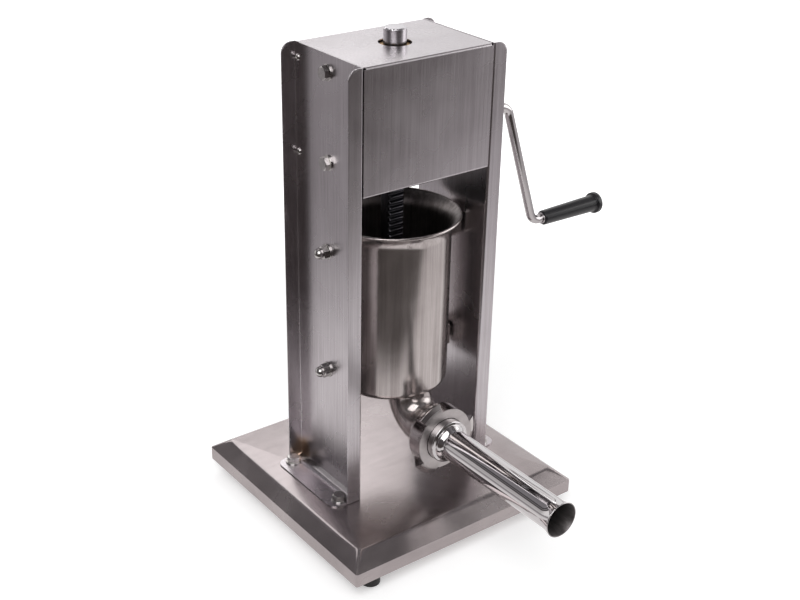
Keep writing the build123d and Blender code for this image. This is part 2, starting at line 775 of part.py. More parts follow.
def shaft_body(radius, z):
    """A round shaft between the bearing plates, with circlip grooves, a pin hole and a free end."""
    with BuildPart() as shaft:
        with BuildSketch(Plane.YZ.offset(-plate_inner_x + shaft_end_gap)):
            with Locations((shaft_y, z)):
                Circle(radius)
        extrude(amount=shaft_shoulder_x + plate_inner_x - shaft_end_gap)
        with BuildSketch(Plane.YZ.offset(shaft_shoulder_x)):
            with Locations((shaft_y, z)):
                Circle(shaft_end_radius)
        extrude(amount=shaft_end_x - shaft_shoulder_x)
        chamfer(shaft.faces().sort_by(Axis.X)[0].edges() + shaft.faces().sort_by(Axis.X)[-1].edges(), 0.8)
        for side in (-1, 1):
            with BuildSketch(Plane.YZ.offset(side * (circlip_inner_x - circlip_side_gap))):
                with Locations((shaft_y, z)):
                    Circle(radius + 1)
                    Circle(radius - circlip_groove, mode=Mode.SUBTRACT)
            extrude(amount=side * (circlip_thickness + 2 * circlip_side_gap), mode=Mode.SUBTRACT)
        with Locations((drive_pin_x, shaft_y, z)):
            Cylinder(drive_pin_radius + seat_gap / 2, 4 * radius, mode=Mode.SUBTRACT)
    return shaft.part


def circlips(radius, z):
    """The two circlips that sit in a shaft's grooves, inside the bushes."""
    with BuildPart() as clips:
        for side in (-1, 1):
            with BuildSketch(Plane.YZ.offset(side * circlip_inner_x)):
                with Locations((shaft_y, z)):
                    Circle(radius + circlip_height)
                    Circle(radius - circlip_groove + seat_gap, mode=Mode.SUBTRACT)
                with Locations((shaft_y, z + radius + circlip_height / 2)):
                    Rectangle(circlip_mouth, 2 * circlip_height, mode=Mode.SUBTRACT)
            extrude(amount=side * circlip_thickness)
    return clips.part


def drive_pin(z):
    """The cross pin near a shaft's free end, which the crank's socket grips."""
    with BuildPart() as pin:
        with Locations((drive_pin_x, shaft_y, z)):
            Cylinder(drive_pin_radius, drive_pin_length)
        chamfer(pin.edges().filter_by(GeomType.CIRCLE), 0.4)
    return pin.part


pinion_half = pinion_width / 2
pinion_reach = pinion_half + pinion_hub
gear_end_x = drive_gear_start + drive_gear_width
gear_hub_end_x = gear_end_x + drive_gear_hub
key_low_z = crank_shaft_z + crank_shaft_radius - key_depth
keys = (
    (-pinion_reach + key_end_gap, pinion_reach - key_end_gap),
    (drive_gear_start + key_end_gap, gear_hub_end_x - key_end_gap),
)

with BuildPart() as crank_shaft:
    add(shaft_body(crank_shaft_radius, crank_shaft_z))
    for start, end in keys:
        with Locations(((start + end) / 2, shaft_y, key_low_z - key_gap)):
            Box(
                end - start + 2 * key_gap,
                key_width + 2 * key_gap,
                2 * key_depth,
                align=(Align.CENTER, Align.CENTER, Align.MIN),
                mode=Mode.SUBTRACT,
            )
finish(crank_shaft.part, "crank_shaft")

with BuildPart() as shaft_keys:
    for start, end in keys:
        with Locations(((start + end) / 2, shaft_y, key_low_z)):
            Box(end - start, key_width, key_height, align=(Align.CENTER, Align.CENTER, Align.MIN))
finish(shaft_keys.part, "shaft_keys")


def keyed_bore(start, end):
    """The shaft's bore and its keyway, to be cut from a wheel on the crank shaft."""
    with BuildPart() as bore:
        with BuildSketch(Plane.YZ.offset(start)):
            with Locations((shaft_y, crank_shaft_z)):
                Circle(crank_shaft_radius + key_gap)
            with Locations((shaft_y, key_low_z)):
                Rectangle(
                    key_width + 2 * key_gap, key_height + key_gap, align=(Align.CENTER, Align.MIN)
                )
        extrude(amount=end - start)
    return bore.part


with BuildPart() as rack_pinion:
    pinion_plane = Plane(origin=(-pinion_half, shaft_y, crank_shaft_z), x_dir=(0, 1, 0), z_dir=(1, 0, 0))
    with BuildSketch(pinion_plane):
        with BuildLine():
            Polyline(*gear_outline(rack_module, rack_pinion_teeth), close=True)
        make_face()
    extrude(amount=pinion_width)
    with BuildSketch(Plane.YZ.offset(-pinion_reach)):
        with Locations((shaft_y, crank_shaft_z)):
            Circle(pinion_hub_radius)
    extrude(amount=2 * pinion_reach)
    add(keyed_bore(-pinion_reach, pinion_reach), mode=Mode.SUBTRACT)
finish(rack_pinion.part, "rack_pinion")

with BuildPart() as drive_gear:
    gear_origin = (drive_gear_start, shaft_y, crank_shaft_z)
    with BuildSketch(Plane(origin=gear_origin, x_dir=(0, 0, 1), z_dir=(1, 0, 0))):
        with BuildLine():
            Polyline(*gear_outline(gear_module, drive_gear_teeth), close=True)
        make_face()
        first_hole = 180 / drive_gear_holes
        with PolarLocations(drive_gear_hole_circle, drive_gear_holes, start_angle=first_hole):
            Circle(drive_gear_hole_radius, mode=Mode.SUBTRACT)
    extrude(amount=drive_gear_width)
    with BuildSketch(Plane.YZ.offset(gear_end_x)):
        with Locations((shaft_y, crank_shaft_z)):
            Circle(drive_gear_hub_radius)
    extrude(amount=drive_gear_hub)
    add(keyed_bore(drive_gear_start, gear_hub_end_x), mode=Mode.SUBTRACT)
finish(drive_gear.part, "drive_gear")

with BuildPart() as slow_shaft:
    add(shaft_body(slow_shaft_radius, slow_shaft_z))
    pinion_start = drive_gear_start - slow_pinion_overhang
    with BuildSketch(Plane(origin=(pinion_start, shaft_y, slow_shaft_z), x_dir=(0, 0, 1), z_dir=(1, 0, 0))):
        with BuildLine():
            Polyline(*gear_outline(gear_module, slow_pinion_teeth), close=True)
        make_face()
    extrude(amount=drive_gear_width + 2 * slow_pinion_overhang)
finish(slow_shaft.part, "slow_pinion_shaft")

finish(shaft_bushes(crank_shaft_radius, crank_shaft_z), "crank_shaft_bushes")
finish(shaft_bushes(slow_shaft_radius, slow_shaft_z), "slow_shaft_bushes")
finish(circlips(crank_shaft_radius, crank_shaft_z), "crank_shaft_circlips")
finish(circlips(slow_shaft_radius, slow_shaft_z), "slow_shaft_circlips")
finish(drive_pin(crank_shaft_z), "crank_shaft_pin")
finish(drive_pin(slow_shaft_z), "slow_shaft_pin")

# ---------------------------------------------------------------- rack rod and piston
rack_pitch = pi * rack_module
spaces_below = int(rack_lift / rack_pitch) + rack_spare_teeth
space_flank = tan(radians(pressure_angle))
space_half = rack_pitch / 4 + tooth_thinning
rack_tip_y = rack_pitch_y - addendum_factor * rack_module
rack_root_y = rack_pitch_y + dedendum_factor * rack_module
rack_end_low_z = crank_shaft_z - (spaces_below + 0.5) * rack_pitch
rack_end_high_z = crank_shaft_z + (rack_spare_teeth + 0.5) * rack_pitch

with BuildPart() as rack_rod:
    with Locations((0, 0, rod_low_z)):
        Cylinder(rod_radius, rod_top_z - rod_low_z, align=(Align.CENTER, Align.CENTER, Align.MIN))
    chamfer(rack_rod.faces().sort_by(Axis.Z)[-1].edges(), rod_chamfer)
    with Locations((0, rack_tip_y, rack_end_low_z)):
        Box(
            2 * rod_radius,
            2 * rod_radius,
            rack_end_high_z - rack_end_low_z,
            align=(Align.CENTER, Align.MAX, Align.MIN),
            mode=Mode.SUBTRACT,
        )
    with BuildSketch(Plane.YZ.offset(-rod_radius)):
        for space in range(-spaces_below, rack_spare_teeth + 1):
            middle_z = crank_shaft_z + space * rack_pitch
            mouth = space_half + (rack_pitch_y - rack_tip_y + 1) * space_flank
            root = space_half - (rack_root_y - rack_pitch_y) * space_flank
            with BuildLine():
                Polyline(
                    (rack_tip_y - 1, middle_z - mouth),
                    (rack_root_y, middle_z - root),
                    (rack_root_y, middle_z + root),
                    (rack_tip_y - 1, middle_z + mouth),
                    close=True,
                )
            make_face()
    extrude(amount=2 * rod_radius, mode=Mode.SUBTRACT)
    with Locations((0, 0, rod_low_z)):
        Cylinder(
            piston_screw_radius + seat_gap,
            piston_screw_length,
            align=(Align.CENTER, Align.CENTER, Align.MIN),
            mode=Mode.SUBTRACT,
        )
finish(rack_rod.part, "rack_rod")

screw_cone_z = piston_low_z + piston_screw_head_radius - piston_screw_radius

seal_low_z = piston_low_z + (piston_thickness - seal_height) / 2
with BuildPart() as piston:
    with Locations((0, 0, piston_low_z)):
        Cylinder(piston_radius, piston_thickness, align=(Align.CENTER, Align.CENTER, Align.MIN))
    chamfer(piston.edges().filter_by(GeomType.CIRCLE), 0.8)
    with Locations((0, 0, piston_top_z)):
        Cylinder(piston_hub_radius, piston_hub_height, align=(Align.CENTER, Align.CENTER, Align.MIN))
    fillet(piston.edges().group_by(Axis.Z)[-1], 1.5)
    with BuildSketch(Plane.XY.offset(seal_low_z)):
        Circle(piston_radius + 1)
        Circle(piston_radius - seal_depth, mode=Mode.SUBTRACT)
    extrude(amount=seal_height, mode=Mode.SUBTRACT)
    with BuildSketch(Plane.XY.offset(rod_low_z)):
        Circle(rod_radius + seat_gap)
    extrude(amount=piston_thickness + piston_hub_height, mode=Mode.SUBTRACT)
    with BuildSketch(Plane.XZ):
        with BuildLine():
            Polyline(
                (0, piston_low_z),
                (piston_screw_head_radius + seat_gap, piston_low_z),
                (piston_screw_radius + seat_gap, screw_cone_z),
                (piston_screw_radius + seat_gap, rod_low_z),
                (0, rod_low_z),
                close=True,
            )
        make_face()
    revolve(axis=Axis.Z, mode=Mode.SUBTRACT)
    with Locations((valve_offset, 0, piston_low_z)):
        Cylinder(
            valve_stem_radius + seat_gap,
            3 * piston_thickness,
            align=(Align.CENTER, Align.CENTER, Align.CENTER),
            mode=Mode.SUBTRACT,
        )
finish(piston.part, "piston")

with BuildPart() as piston_seal:
    with BuildSketch(Plane.XZ):
        inner = piston_radius - seal_depth
        with BuildLine():
            Polyline(
                (inner, seal_low_z),
                (piston_radius - 0.5, seal_low_z),
                (seal_lip_radius, seal_low_z + (seal_height - seal_lip_height) / 2),
                (seal_lip_radius, seal_low_z + (seal_height + seal_lip_height) / 2),
                (piston_radius - 0.5, seal_low_z + seal_height),
                (inner, seal_low_z + seal_height),
                close=True,
            )
        make_face()
    revolve(axis=Axis.Z)
finish(piston_seal.part, "piston_seal")

with BuildPart() as piston_screw:
    with BuildSketch(Plane.XZ):
        with BuildLine():
            Polyline(
                (0, piston_low_z),
                (piston_screw_head_radius, piston_low_z),
                (piston_screw_radius, screw_cone_z),
                (piston_screw_radius, rod_low_z + piston_screw_length - 1),
                (0, rod_low_z + piston_screw_length - 1),
                close=True,
            )
        make_face()
    revolve(axis=Axis.Z)
    with Locations((0, 0, piston_low_z)):
        Box(
            1.8,
            2 * piston_screw_head_radius,
            1.8,
            align=(Align.CENTER, Align.CENTER, Align.MIN),
            mode=Mode.SUBTRACT,
        )
finish(piston_screw.part, "piston_screw")

with BuildPart() as valve_sleeve:
    with BuildSketch(Plane.XZ) as section:
        with BuildLine():
            Polyline(
                (valve_bore_radius, piston_low_z + valve_pocket_depth),
                (valve_pocket_radius, piston_low_z + valve_pocket_depth),
                (valve_pocket_radius, piston_low_z),
                (valve_stem_radius, piston_low_z),
                (valve_stem_radius, piston_top_z),
                (valve_flange_radius, piston_top_z),
                (valve_flange_radius, piston_top_z + valve_flange),
                (valve_bore_radius, piston_top_z + valve_flange),
                close=True,
            )
        make_face()
    revolve(axis=Axis.Z)
valve_sleeve.part.position = (valve_offset, 0, 0)
finish(valve_sleeve.part, "valve_sleeve")

poppet_low_z = piston_low_z + valve_pocket_depth - poppet_lift - poppet_foot - rest_gap
poppet_head_z = piston_top_z + valve_flange + rest_gap
with BuildPart() as valve_poppet:
    with BuildSketch(Plane.XZ):
        with BuildLine():
            Polyline(
                (0, poppet_low_z),
                (poppet_foot_radius, poppet_low_z),
                (poppet_foot_radius, poppet_low_z + poppet_foot),
                (poppet_stem_radius, poppet_low_z + poppet_foot),
                (poppet_stem_radius, poppet_head_z),
                (poppet_head_radius, poppet_head_z),
                (poppet_head_radius - 1, poppet_head_z + poppet_head),
                (0, poppet_head_z + poppet_head),
                close=True,
            )
        make_face()
    revolve(axis=Axis.Z)
valve_poppet.part.position = (valve_offset, 0, 0)
finish(valve_poppet.part, "valve_poppet")

# ---------------------------------------------------------------- pegs that carry the barrel
peg_length = plate_inner_x - peg_end_x
with BuildPart() as peg:
    Cylinder(peg_radius, peg_length, align=(Align.CENTER, Align.CENTER, Align.MAX))
    chamfer(peg.faces().sort_by(Axis.Z)[0].edges(), 1)
    Cylinder(peg_shoulder_radius, peg_shoulder, align=(Align.CENTER, Align.CENTER, Align.MAX))
    peg_thread = plate_sheet + washer_thickness + dome_skirt
    Cylinder(bolt_radius, peg_thread, align=(Align.CENTER, Align.CENTER, Align.MIN))
with BuildPart() as dome_nut:
    add(hexagon(bolt_flats, dome_skirt))
    with Locations((0, 0, dome_height - dome_radius)):
        Sphere(dome_radius)
    with BuildSketch(Plane.XY.offset(dome_skirt)):
        Circle(dome_radius)
    extrude(amount=dome_height - dome_radius - dome_skirt)
    with BuildSketch():
        Circle(bolt_radius + seat_gap)
    extrude(amount=dome_skirt + seat_gap, mode=Mode.SUBTRACT)

peg_names = (("lower_pegs", peg_zs[0]), ("upper_pegs", peg_zs[1]))
for name, z in peg_names:
    finish(group(peg.part, [outward(side, plate_inner_x, peg_y, z) for side in (-1, 1)]), name)
peg_places = [(side, z) for side in (-1, 1) for z in peg_zs]
peg_washer_places = [outward(side, plate_outer_x, peg_y, z) for side, z in peg_places]
finish(group(sole_washer, peg_washer_places), "peg_washers")
dome_nut_x = plate_outer_x + washer_thickness
finish(group(dome_nut.part, [outward(side, dome_nut_x, peg_y, z) for side, z in peg_places]), "dome_nuts")

# ---------------------------------------------------------------- barrel and spout
flare_reach = rim_reach - rim_wire_radius
flare_bend = (rim_flare_height**2 + flare_reach**2) / (2 * flare_reach)
flare_turn = degrees(asin(rim_flare_height / flare_bend))
flare_z = rim_z - rim_wire_radius - rim_flare_height
flare_centre = (barrel_radius + flare_bend, flare_z)
spout_axis = Axis((0, 0, spout_z), (0, 1, 0))
spout_plane = Plane(origin=(0, 0, spout_z), x_dir=(1, 0, 0), z_dir=(0, 0, 1))
spout_inner_radius = spout_radius - spout_wall

with BuildPart() as barrel_outside:
    with BuildSketch(Plane.XZ):
        with BuildLine():
            floor = Line((0, barrel_low_z), (barrel_radius - barrel_floor_radius, barrel_low_z))
            corner_end = (barrel_radius, barrel_low_z + barrel_floor_radius)
            corner = TangentArc(floor @ 1, corner_end, tangent=(1, 0))
            Line(corner @ 1, (barrel_radius, flare_z))
            flare = CenterArc(flare_centre, flare_bend, 180, -flare_turn)
            Polyline(flare @ 1, (0, rim_z - rim_wire_radius), (0, barrel_low_z))
        make_face()
    revolve(axis=Axis.Z)

with BuildPart() as barrel:
    add(barrel_outside.part)
    with BuildSketch(Plane.XZ):
        with BuildLine():
            inner_corner = barrel_floor_radius - barrel_sheet
            inner_edge = barrel_inner_radius - inner_corner
            floor = Line((0, barrel_floor_z), (inner_edge, barrel_floor_z))
            corner_end = (barrel_inner_radius, barrel_floor_z + inner_corner)
            corner = TangentArc(floor @ 1, corner_end, tangent=(1, 0))
            Line(corner @ 1, (barrel_inner_radius, flare_z))
            flare = CenterArc(flare_centre, flare_bend + barrel_sheet, 180, -flare_turn)
            Polyline(flare @ 1, (flare.position_at(1).X, rim_z), (0, rim_z), (0, barrel_floor_z))
        make_face()
    revolve(axis=Axis.Z, mode=Mode.SUBTRACT)
    with BuildSketch(Plane.XZ):
        with Locations((barrel_radius + flare_reach, rim_z - rim_wire_radius)):
            Circle(rim_wire_radius)
    revolve(axis=Axis.Z)
    with BuildSketch(Plane.XY.offset(barrel_low_z)):
        with Locations((0, spout_floor_y)):
            Circle(spout_inner_radius)
    extrude(amount=barrel_floor_radius, mode=Mode.SUBTRACT)
finish(barrel.part, "barrel")

with BuildPart() as spout:
    collar_z = barrel_low_z + barrel_floor_radius / 2
    with BuildLine():
        drop = Line((0, spout_floor_y, collar_z), (0, spout_floor_y, barrel_low_z))
        bend = TangentArc(drop @ 1, (0, spout_bend_y, spout_z), tangent=(0, 0, -1))
        Line(bend @ 1, (0, stub_end_y, spout_z))
    with BuildSketch(Plane.XY.offset(collar_z)):
        with Locations((0, spout_floor_y)):
            Circle(spout_radius)
            Circle(spout_inner_radius, mode=Mode.SUBTRACT)
    sweep()
    add(barrel_outside.part, mode=Mode.SUBTRACT)
finish(spout.part, "spout")

with BuildPart() as spout_thread:
    with BuildSketch(spout_plane):
        start_y = nut_back_y + thread_start
        ridges = int((start_y - stub_end_y) / thread_pitch)
        points = [(spout_radius, start_y), (thread_radius, start_y)]
        for ridge in range(ridges):
            ridge_y = start_y - ridge * thread_pitch
            points.append((thread_radius, ridge_y - thread_pitch * 0.4))
            points.append((thread_radius - thread_depth, ridge_y - thread_pitch * 0.7))
            points.append((thread_radius, ridge_y - thread_pitch))
        points.append((thread_radius, stub_end_y + thread_depth))
        points.append((thread_radius - thread_depth, stub_end_y))
        points.append((spout_radius, stub_end_y))
        with BuildLine():
            Polyline(*points, close=True)
        make_face()
    revolve(axis=spout_axis)
finish(spout_thread.part, "spout_thread")

ear_end_x = plate_inner_x - peg_shoulder - rest_gap * 3
ear_reach = ear_end_x - barrel_radius / 2  # well into the barrel, which then cuts the ear to its wall
for hand, side in sides:
    with BuildPart() as ear:
        with BuildSketch(Plane.YZ.offset(side * ear_end_x)):
            with Locations((peg_y, peg_zs[0])):
                Rectangle(2 * ear_half_width, ear_rise, align=(Align.CENTER, Align.MIN))
                Rectangle(2 * ear_half_width, ear_drop, align=(Align.CENTER, Align.MAX))
                Circle(peg_radius + peg_gap, mode=Mode.SUBTRACT)
                Rectangle(
                    2 * (peg_radius + peg_gap),
                    ear_drop,
                    align=(Align.CENTER, Align.MAX),
                    mode=Mode.SUBTRACT,
                )
        extrude(amount=-side * ear_reach)
        add(barrel_outside.part, mode=Mode.SUBTRACT)
        fillet(ear.edges().filter_by(Axis.X).group_by(Axis.Z)[-1], 4)
    finish(ear.part, f"{hand}_barrel_ear")
    with BuildPart() as catch:
        with BuildSketch(Plane.YZ.offset(side * ear_end_x)):
            with Locations((peg_y - catch_reach, peg_zs[1] - catch_drop)):
                Rectangle(catch_reach + catch_back, catch_drop + catch_rise, align=(Align.MIN, Align.MIN))
            with Locations((peg_y, peg_zs[1])):
                Circle(peg_radius + peg_gap, mode=Mode.SUBTRACT)
                Rectangle(
                    catch_back,
                    2 * (peg_radius + peg_gap),
                    align=(Align.MIN, Align.CENTER),
                    mode=Mode.SUBTRACT,
                )
        extrude(amount=-side * ear_reach)
        add(barrel_outside.part, mode=Mode.SUBTRACT)
        fillet(catch.edges().filter_by(Axis.X).group_by(Axis.Y)[0], 4)
    finish(catch.part, f"{hand}_barrel_catch")

# ---------------------------------------------------------------- ring nut, gasket and stuffing tube
ear_angles = [nut_ear_turn + 360 * ear / nut_ears for ear in range(nut_ears)]
with BuildPart() as ring_nut:
    with BuildSketch(Plane.XZ.offset(-nut_back_y)) as lobes:
        with Locations((0, spout_z)):
            for angle in ear_angles:
                low = radians(angle - nut_ear_half_angle)
                high = radians(angle + nut_ear_half_angle)
                reach = 2 * nut_ear_radius
                Polygon(
                    (0, 0),
                    (reach * cos(low), reach * sin(low)),
                    (reach * cos(high), reach * sin(high)),
                    align=None,
                )
            Circle(nut_ear_radius, mode=Mode.INTERSECT)
            Circle(nut_disc_radius)
        centre = Vector(0, nut_back_y, spout_z)
        corners = lobes.vertices()
        roots = corners.filter_by(lambda v: abs((Vector(v) - centre).length - nut_disc_radius) < 0.1)
        fillet(roots, nut_ear_fillet)
        tips = lobes.vertices().filter_by(lambda v: abs((Vector(v) - centre).length - nut_ear_radius) < 0.1)
        fillet(tips, 2)
    extrude(amount=nut_thickness)
    with BuildSketch(spout_plane):
        with BuildLine():
            Polyline(
                (0, nut_back_y),
                (nut_back_radius, nut_back_y),
                (nut_ear_radius, nut_face_y + 1.6 * nut_bevel),
                (nut_ear_radius, nut_face_y + nut_bevel),
                (nut_disc_radius + 0.5, nut_face_y),
                (0, nut_face_y),
                close=True,
            )
        make_face()
    revolve(axis=spout_axis, mode=Mode.INTERSECT)
    with BuildSketch(Plane.XZ.offset(-nut_back_y)):
        with Locations((0, spout_z)):
            Circle(thread_radius + thread_gap)
    extrude(amount=nut_thickness - nut_lip, mode=Mode.SUBTRACT)
    with BuildSketch(Plane.XZ.offset(-nut_back_y)):
        with Locations((0, spout_z)):
            Circle(nut_lip_radius)
    extrude(amount=nut_thickness, mode=Mode.SUBTRACT)
finish(ring_nut.part, "ring_nut")

with BuildPart() as spout_gasket:
    with BuildSketch(Plane.XZ.offset(-stub_end_y)):
        with Locations((0, spout_z)):
            Circle(tube_flange_radius)
            Circle(spout_inner_radius, mode=Mode.SUBTRACT)
    extrude(amount=gasket_thickness)
finish(spout_gasket.part, "spout_gasket")

bell_radius = nut_lip_radius - bell_gap
bell_end_y = nut_face_y - bell_beyond_nut
cone_end_y = bell_end_y - bell_cone
tube_flare_y = tube_mouth_y + tube_flare_length
tube_flare_reach = tube_mouth_radius - tube_radius
tube_flare_bend = (tube_flare_length**2 + tube_flare_reach**2) / (2 * tube_flare_reach)
tube_flare_turn = degrees(asin(tube_flare_length / tube_flare_bend))
tube_flare_centre = (tube_radius + tube_flare_bend, tube_flare_y)
with BuildPart() as stuffing_tube:
    with BuildSketch(spout_plane) as section:
        with BuildLine():
            outer = CenterArc(tube_flare_centre, tube_flare_bend, 180, tube_flare_turn)
            inner = CenterArc(tube_flare_centre, tube_flare_bend + tube_wall, 180, tube_flare_turn)
            Line(outer @ 1, inner @ 1)
            Polyline(
                inner @ 0,
                (tube_radius - tube_wall, cone_end_y),
                (bell_radius - spout_wall, bell_end_y),
                (spout_inner_radius, bell_end_y + spout_wall),
                (spout_inner_radius, tube_flange_back_y),
                (tube_flange_radius, tube_flange_back_y),
                (tube_flange_radius, tube_flange_front_y),
                (bell_radius, tube_flange_front_y),
                (bell_radius, bell_end_y),
                (tube_radius, cone_end_y),
                outer @ 0,
            )
        make_face()
        cone_corners = section.vertices().filter_by(lambda v: abs(v.Y - bell_end_y) < 0.01)
        fillet(cone_corners.sort_by(Axis.X)[-1:], 4)
        fillet(section.vertices().filter_by(lambda v: abs(v.Y - cone_end_y) < 0.01), 8)
    revolve(axis=spout_axis)
finish(stuffing_tube.part, "stuffing_tube")

# ---------------------------------------------------------------- crank and grip
socket_start_x = plate_outer_x + shaft_bush_beyond + socket_start_gap
socket_floor_x = shaft_end_x + rest_gap
socket_end_x = socket_floor_x + socket_wall
with BuildPart() as crank_socket:
    with BuildSketch(Plane.YZ.offset(socket_start_x)):
        with Locations((shaft_y, crank_shaft_z)):
            Circle(socket_radius)
    extrude(amount=socket_end_x - socket_start_x)
    chamfer(crank_socket.edges().filter_by(GeomType.CIRCLE), 1)
    with BuildSketch(Plane.YZ.offset(socket_start_x)):
        with Locations((shaft_y, crank_shaft_z)):
            Circle(shaft_end_radius + running_gap)
    extrude(amount=socket_floor_x - socket_start_x, mode=Mode.SUBTRACT)
    with BuildSketch(Plane.YZ.offset(socket_end_x)):
        with Locations((shaft_y, crank_shaft_z)):
            Circle(crank_rod_radius + seat_gap)
    extrude(amount=-socket_wall, mode=Mode.SUBTRACT)
    slot_end_x = drive_pin_x + drive_pin_radius + rest_gap
    with Locations((slot_end_x, shaft_y, crank_shaft_z)):
        Box(
            2 * (slot_end_x - socket_start_x),
            2 * (drive_pin_radius + 2 * seat_gap),
            2 * socket_radius,
            align=(Align.MAX, Align.CENTER, Align.CENTER),
            mode=Mode.SUBTRACT,
        )
finish(crank_socket.part, "crank_socket")

grip_floor_x = grip_end - grip_pocket_depth
rod_shoulder_x = grip_floor_x + rest_gap
stud_end_x = rod_shoulder_x + grip_nut_flange + grip_nut_height + 0.6
with BuildPart() as crank_arm:
    with BuildLine():
        FilletPolyline(
            (socket_floor_x + rest_gap, shaft_y, crank_shaft_z),
            (crank_first_corner_x, shaft_y, crank_shaft_z),
            (crank_second_corner_x, shaft_y, grip_z),
            (rod_shoulder_x, shaft_y, grip_z),
            radius=[crank_first_bend, crank_second_bend],
        )
    with BuildSketch(Plane.YZ.offset(socket_floor_x + rest_gap)):
        with Locations((shaft_y, crank_shaft_z)):
            Circle(crank_rod_radius)
    sweep()
    with BuildSketch(Plane.YZ.offset(grip_start - rest_gap)):
        with Locations((shaft_y, grip_z)):
            Circle(grip_collar_radius)
    extrude(amount=-grip_collar)
    with BuildSketch(Plane.YZ.offset(rod_shoulder_x)):
        with Locations((shaft_y, grip_z)):
            Circle(grip_stud_radius)
    extrude(amount=stud_end_x - rod_shoulder_x)
finish(crank_arm.part, "crank_arm")

grip_axis = Axis((0, shaft_y, grip_z), (1, 0, 0))
with BuildPart() as crank_grip:
    with BuildSketch(Plane(origin=(0, shaft_y, grip_z), x_dir=(1, 0, 0), z_dir=(0, -1, 0))) as section:
        with BuildLine():
            bore = crank_rod_radius + grip_bore_gap
            Polyline(
                (grip_start, bore),
                (grip_start, grip_start_radius),
                (grip_end - grip_flange, grip_end_radius),
                (grip_end - grip_flange, grip_flange_radius),
                (grip_end, grip_flange_radius),
                (grip_end, grip_pocket_radius),
                (grip_floor_x, grip_pocket_radius),
                (grip_floor_x, bore),
                close=True,
            )
        make_face()
        fillet(section.vertices().filter_by(lambda v: v.X < grip_start + 1).sort_by(Axis.Z)[-1:], 2)
        flange_corners = section.vertices().filter_by(lambda v: v.Z > grip_z + grip_flange_radius - 0.1)
        fillet(flange_corners, 2.2)
    revolve(axis=grip_axis)
finish(crank_grip.part, "crank_grip")

with BuildPart() as grip_nut:
    with BuildSketch(Plane.YZ.offset(rod_shoulder_x)):
        with Locations((shaft_y, grip_z)):
            Circle(grip_nut_flange_radius)
    extrude(amount=grip_nut_flange)
    with BuildSketch(Plane.YZ.offset(rod_shoulder_x + grip_nut_flange)):
        with Locations((shaft_y, grip_z)):
            RegularPolygon(grip_nut_flats / 2, 6, major_radius=False)
    extrude(amount=grip_nut_height)
    with BuildSketch(Plane.YZ.offset(rod_shoulder_x)):
        with Locations((shaft_y, grip_z)):
            Circle(grip_stud_radius + seat_gap)
    extrude(amount=grip_nut_flange + grip_nut_height, mode=Mode.SUBTRACT)
finish(grip_nut.part, "grip_nut")
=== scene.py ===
"""Looks of an upright hand-cranked sausage stuffer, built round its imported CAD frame.

Metres, +Z up. The spout and the stuffing tube point to -Y and the crank is on the +X side. Each sub-assembly
is a class that builds its pieces and dresses them, and main() builds them in order.
"""

import logging
import math
from dataclasses import dataclass
from enum import Enum
from typing import Iterable, Mapping, Sequence, Union

import bmesh
import bpy
from mathutils import Matrix, Vector


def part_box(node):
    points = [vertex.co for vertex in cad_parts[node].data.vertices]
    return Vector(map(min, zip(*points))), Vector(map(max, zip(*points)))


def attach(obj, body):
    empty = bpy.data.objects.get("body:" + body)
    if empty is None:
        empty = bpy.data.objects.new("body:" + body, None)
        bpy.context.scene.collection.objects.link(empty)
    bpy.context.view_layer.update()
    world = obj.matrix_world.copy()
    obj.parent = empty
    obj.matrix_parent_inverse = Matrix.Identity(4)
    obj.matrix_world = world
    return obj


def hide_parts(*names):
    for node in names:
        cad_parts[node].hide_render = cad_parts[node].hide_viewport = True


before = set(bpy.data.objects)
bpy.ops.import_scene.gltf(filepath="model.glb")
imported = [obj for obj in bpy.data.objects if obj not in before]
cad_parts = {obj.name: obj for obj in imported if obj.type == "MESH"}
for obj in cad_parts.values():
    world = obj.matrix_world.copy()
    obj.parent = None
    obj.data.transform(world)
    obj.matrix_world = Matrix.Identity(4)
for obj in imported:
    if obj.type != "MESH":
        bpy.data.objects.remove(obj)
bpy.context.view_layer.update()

LOG = logging.getLogger("sausage_stuffer")
MM = 0.001
Pair = tuple[float, float]
Triple = tuple[float, float, float]
Outline = list[Pair]
Piece = bpy.types.Object
Tree = bpy.types.NodeTree
Node = bpy.types.Node
Socket = bpy.types.NodeSocket
Source = Union[Node, Socket]


class Axis(Enum):
    """A world axis that a piece is turned about."""

    X = 0
    Y = 1
    Z = 2


class Measure(Enum):
    """What a zone of space is measured by: the distance from a point, or the way along a direction."""

    DISTANCE = "DISTANCE"
    ALONG = "DOT_PRODUCT"


# -------- shader helpers
def linear(colour: str) -> tuple[float, float, float, float]:
    """Turn an sRGB hex colour to the linear values that a shader takes.

    Args:
        colour: A colour such as "#c0b4a8".

    Returns:
        Linear red, green, blue and an alpha of 1.
    """
    channels = [int(colour[place : place + 2], 16) / 255 for place in (1, 3, 5)]
    curve = [c / 12.92 if c <= 0.04045 else ((c + 0.055) / 1.055) ** 2.4 for c in channels]
    return curve[0], curve[1], curve[2], 1.0


def add_node(tree: Tree, kind: str, inputs: dict | Sequence = (), **settings) -> Node:
    """Add one node with its settings, and set or link its inputs.

    Args:
        tree: The shader or geometry tree that takes the node.
        kind: The node's type name.
        inputs: Values by socket name or number, or in a row from the first socket on. Each is a plain value,
            a socket to link, a node whose first output is linked, or a list of these for a socket with many.
        settings: Properties of the node itself.

    Returns:
        The new node.
    """
    node = tree.nodes.new(kind)
    for name, value in settings.items():
        setattr(node, name, value)
    for key, value in inputs.items() if isinstance(inputs, dict) else enumerate(inputs):
        for part in value if isinstance(value, list) else [value]:
            part = part.outputs[0] if isinstance(part, Node) else part
            if isinstance(part, Socket):
                tree.links.new(part, node.inputs[key])
            else:
                node.inputs[key].default_value = part
    return node


